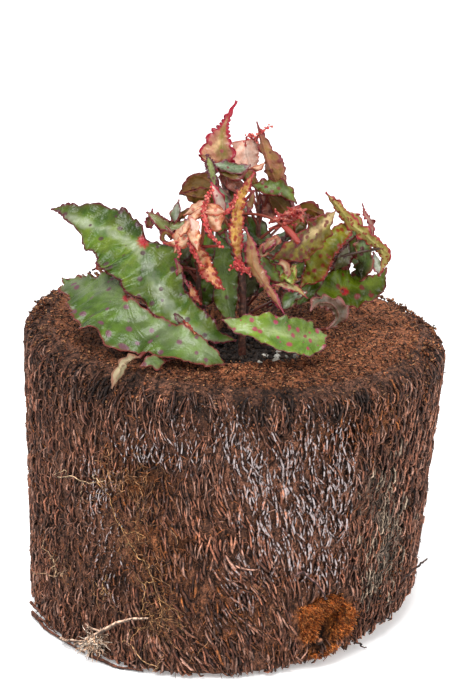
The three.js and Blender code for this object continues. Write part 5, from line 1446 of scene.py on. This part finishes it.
def leaf_piece(name, leaf, node):
    """A leaf's blade as a thin closed shell with quilted veins, toothed and waved margins."""
    look = LOOKS[leaf["look"]]
    draw = np.random.default_rng(sum(map(ord, name)))
    knots = np.array([row[:3] for row in leaf["spine"]], float)
    length = np.linalg.norm(np.diff(knots, axis=0), axis=1).sum()
    spacing, depth, hook = look["teeth"]
    cell = np.clip(spacing / CELLS_PER_TOOTH, FINEST_CELL, CELL)
    u = np.linspace(0, 1, int(max(LEAF_ROWS, length / cell)))
    middle, along, left, up = leaf_frame(leaf, u)
    run = np.concatenate([[0], np.cumsum(np.linalg.norm(np.diff(middle, axis=0), axis=1))])
    from_ends = np.minimum(run, run[-1] - run)[:, None]
    run = run - np.interp(leaf["heart"], u, run)
    widest = max(max(row[3:]) for row in leaf["spine"])
    v = np.linspace(-1, 1, 2 * int(max(LEAF_CELLS, widest / CELL_ACROSS)) + 1)
    v = np.sign(v) * np.abs(v) ** 0.8
    sides = half_widths(leaf, u)
    widths = np.where(v < 0, sides[:, :1], sides[:, 1:])
    out, sign = np.abs(v), np.where(v < 0, 1.0, -1.0)
    fullness = np.minimum(1, widths / FULL_WIDTH)
    level = (u * length)[:, None]

    wave = np.cos(2 * math.pi * leaf["waves"] * u)[:, None] * sign
    pace = level / spacing + 0.35 * np.sin(level / spacing * 0.9)
    tooth = scallop if look["scallop"] else saw
    bite = np.where(v < 0, tooth(pace), tooth(pace + 0.4))
    if depth < 1.5 and not look["scallop"]:
        bite = bite * (0.55 + 0.45 * np.sin(pace * 2.3 + 1) ** 2)
    edge = np.clip((out - 0.5) / 0.5, 0, 1) ** 2
    lobes = look["lobes"] * ripples(level, 30 * sign, draw, 8)
    toothed = edge * np.minimum(1, widths / 2)
    width = widths * out * (1 + TOOTH_SHARE * wave * fullness * out**6)
    width = width + (depth * (bite - 0.6) + lobes) * toothed
    width = width * (look["narrow"] + (1 - look["narrow"]) * 0.5 * bite)

    flat_x, flat_y = run[:, None] + 0 * v, -sign * widths * out
    vein = np.abs((np.arctan2(flat_y, flat_x) * VEINS / (2 * math.pi) + 0.5) % 1 - 0.5)
    quilt = np.sin(np.minimum(1, vein * np.hypot(flat_x, flat_y) / 2.2) * math.pi / 2) * (1 - out**3)
    small, high = look["frill"]
    frill = np.sin(2 * math.pi * level / small + 1.5 * np.sin(level / 9)) * sign * out**5
    frill = frill * (1 + 0.6 * ripples(level, 30 * sign, draw, 10))
    dents = look["crumple"] * ripples(flat_x, flat_y, draw, 3.2)
    fold = math.radians(leaf["fold"])
    lift = widths * out * math.sin(fold) + leaf["ruffle"] * fullness * wave * out**2
    lift = lift + fullness * (0.3 * ripples(flat_x, flat_y, draw, 8) + look["ribs"] * quilt)
    lift = lift + np.minimum(1, widths / 2) * (high * frill + dents + look["cup"] * out**2)
    points = middle[:, None] + left[:, None] * (width * math.cos(fold) * sign)[..., None]
    points = points + up[:, None] * lift[..., None] + along[:, None] * (hook * bite * toothed)[..., None]

    parts = Parts()
    thick = look["thick"] / 2 * (1 - 0.5 * out**4)
    rim = np.minimum((1 - out) * widths, from_ends * 0.7).ravel()
    flat = np.stack([flat_x, flat_y], -1).reshape(-1, 2)
    half = up[:, None] * thick[:, None]
    border = add_shell(parts, points, half, look["both"], rim=rim, stalk=0, leaf=flat)
    radii = look["margin"][1] * (0.5 + 0.75 * bite.ravel()[border])
    radii = radii * np.minimum(1, 0.35 + widths.ravel()[border] / 1.5) * min(1, 0.3 + widest / 5)
    add_margin(parts, points.reshape(-1, 3)[border], radii, look["beads"], draw, flat[border[:1]])
    if look["chain"]:
        add_chain(parts, leaf, look["chain"], draw, int(length / CHAIN_STEP), run[-1])
    if leaf["stem"]:
        add_stalk(parts, *petiole_path(leaf), 10)
    place(name, parts, leaf_surface(leaf["look"]), node)


def petiole_path(leaf):
    """The stalk's middle line, from its stem to the midrib's heart, and its radius along it."""
    stem, share = leaf["stem"]
    start, _ = smooth_curve(STEMS["stem_" + stem][0], [share])
    end = leaf_frame(leaf, [leaf["heart"]])[0]
    bend = np.array([leaf["via"]], float) if leaf["via"] else (start + end) / 2
    t = np.linspace(0, 1, STALK_STEPS)[:, None]
    path = start * (1 - t) ** 2 + bend * 2 * t * (1 - t) + end * t**2
    return path, leaf["petiole"] * (1 + 0.5 * (1 - t[:, 0]) ** 8 + 0.2 * t[:, 0] ** 8)


def fingers():
    """Smooth red shoots that spread like fingers from one bud, and the spotted leaf's swollen stalk."""
    draw = seeded("fingers")
    parts = Parts()
    for *tip, radius in FINGERS:
        start, end = np.array(FINGER_BUD, float), np.array(tip, float)
        bend = (start + end) / 2 + draw.normal(0, 0.7, 3)
        path, _ = smooth_curve([start, bend, end], np.linspace(0, 1, FINGER_STEPS))
        add_stalk(parts, path, radius * draw.uniform(0.8, 1.2) * np.linspace(1.1, 0.6, FINGER_STEPS), 8)
    step, thick = STALK_SWELL
    path, _ = petiole_path(LEAVES["leaf_right_spotted"])
    add_stalk(parts, path[step:], thick * np.sin(np.linspace(0.5, 2.2, STALK_STEPS - step)) ** 0.5, 8)
    place("shoot_right.fingers", parts, leaf_surface("coral"), "shoot_right")


# ---------------------------------------------------------------- camera, light and floor, in metres
CAMERA = dict(place=(0, -0.720, 0.325), tilt=17.7, lens=108)
LAMPS = [  # name, place, size and power in watts
    ("key", (-0.35, -0.8, 1.5), 0.9, 26.0),
    ("fill", (1.0, -1.0, 0.7), 1.0, 9.0),
    ("back", (0.3, 1.2, 1.2), 1.2, 9.0),
]
LIT_HEIGHT = 0.1  # what the lamps point at
SKY = 0.72
FLOOR_REACH, FLOOR_SHADE, FLOOR_GLOW = 4, 0.97, 0.25


def stage():
    scene = bpy.context.scene
    camera = add_object("camera", bpy.data.cameras.new("camera"))
    camera.location = CAMERA["place"]
    camera.rotation_euler = (math.radians(90 - CAMERA["tilt"]), 0, 0)
    camera.data.lens = CAMERA["lens"]
    scene.camera = camera
    for name, (x, y, z), size, power in LAMPS:
        lamp = add_object(name, bpy.data.lights.new(name, "AREA"))
        lamp.data.size = size
        lamp.data.energy = power
        lamp.location = (x, y, z)
        lamp.rotation_euler = Vector((-x, -y, LIT_HEIGHT - z)).to_track_quat("-Z", "Y").to_euler()
    scene.world = bpy.data.worlds.new("studio")
    scene.world.use_nodes = True
    sky = scene.world.node_tree.nodes["Background"]
    sky.inputs["Color"].default_value = (1, 1, 1, 1)
    sky.inputs["Strength"].default_value = SKY
    scene.view_settings.view_transform = "Standard"

    mesh = bpy.data.meshes.new("floor")
    corners = [(x * FLOOR_REACH, y * FLOOR_REACH, 0) for x, y in ((-1, -1), (1, -1), (1, 1), (-1, 1))]
    mesh.from_pydata(corners, [], [(0, 1, 2, 3)])
    light = dict(Emission_Color=(1, 1, 1), Emission_Strength=FLOOR_GLOW)
    mesh.materials.append(Surface("floor").finish((FLOOR_SHADE,) * 3, 0.9, **light))
    add_object("floor", mesh)


FIBRE = fibre_surface()
FELT = felt_surface()
SOIL = matt_surface("soil", 0.9, 0.8, 0.4)
GRIT_STONE = matt_surface("grit", 0.8, 0.5, 0.2)
BARK = bark_surface()
drum_core()
for strand_index in range(STRAND_PIECES):
    drum_strands(strand_index)
side_crumbs()
drum_fuzz()
drum_top()
drum_scar()
loose_roots()
soil_bed()
stems()
for leaf_name, leaf_entry in LEAVES.items():
    leaf_piece(leaf_name + ".blade", leaf_entry, leaf_name)
for small_index, (leaf_name, leaf_entry) in enumerate(SMALL_LEAVES):
    leaf_piece(f"{leaf_name}.small_{small_index + 1}", leaf_entry, leaf_name)
fingers()
stage()
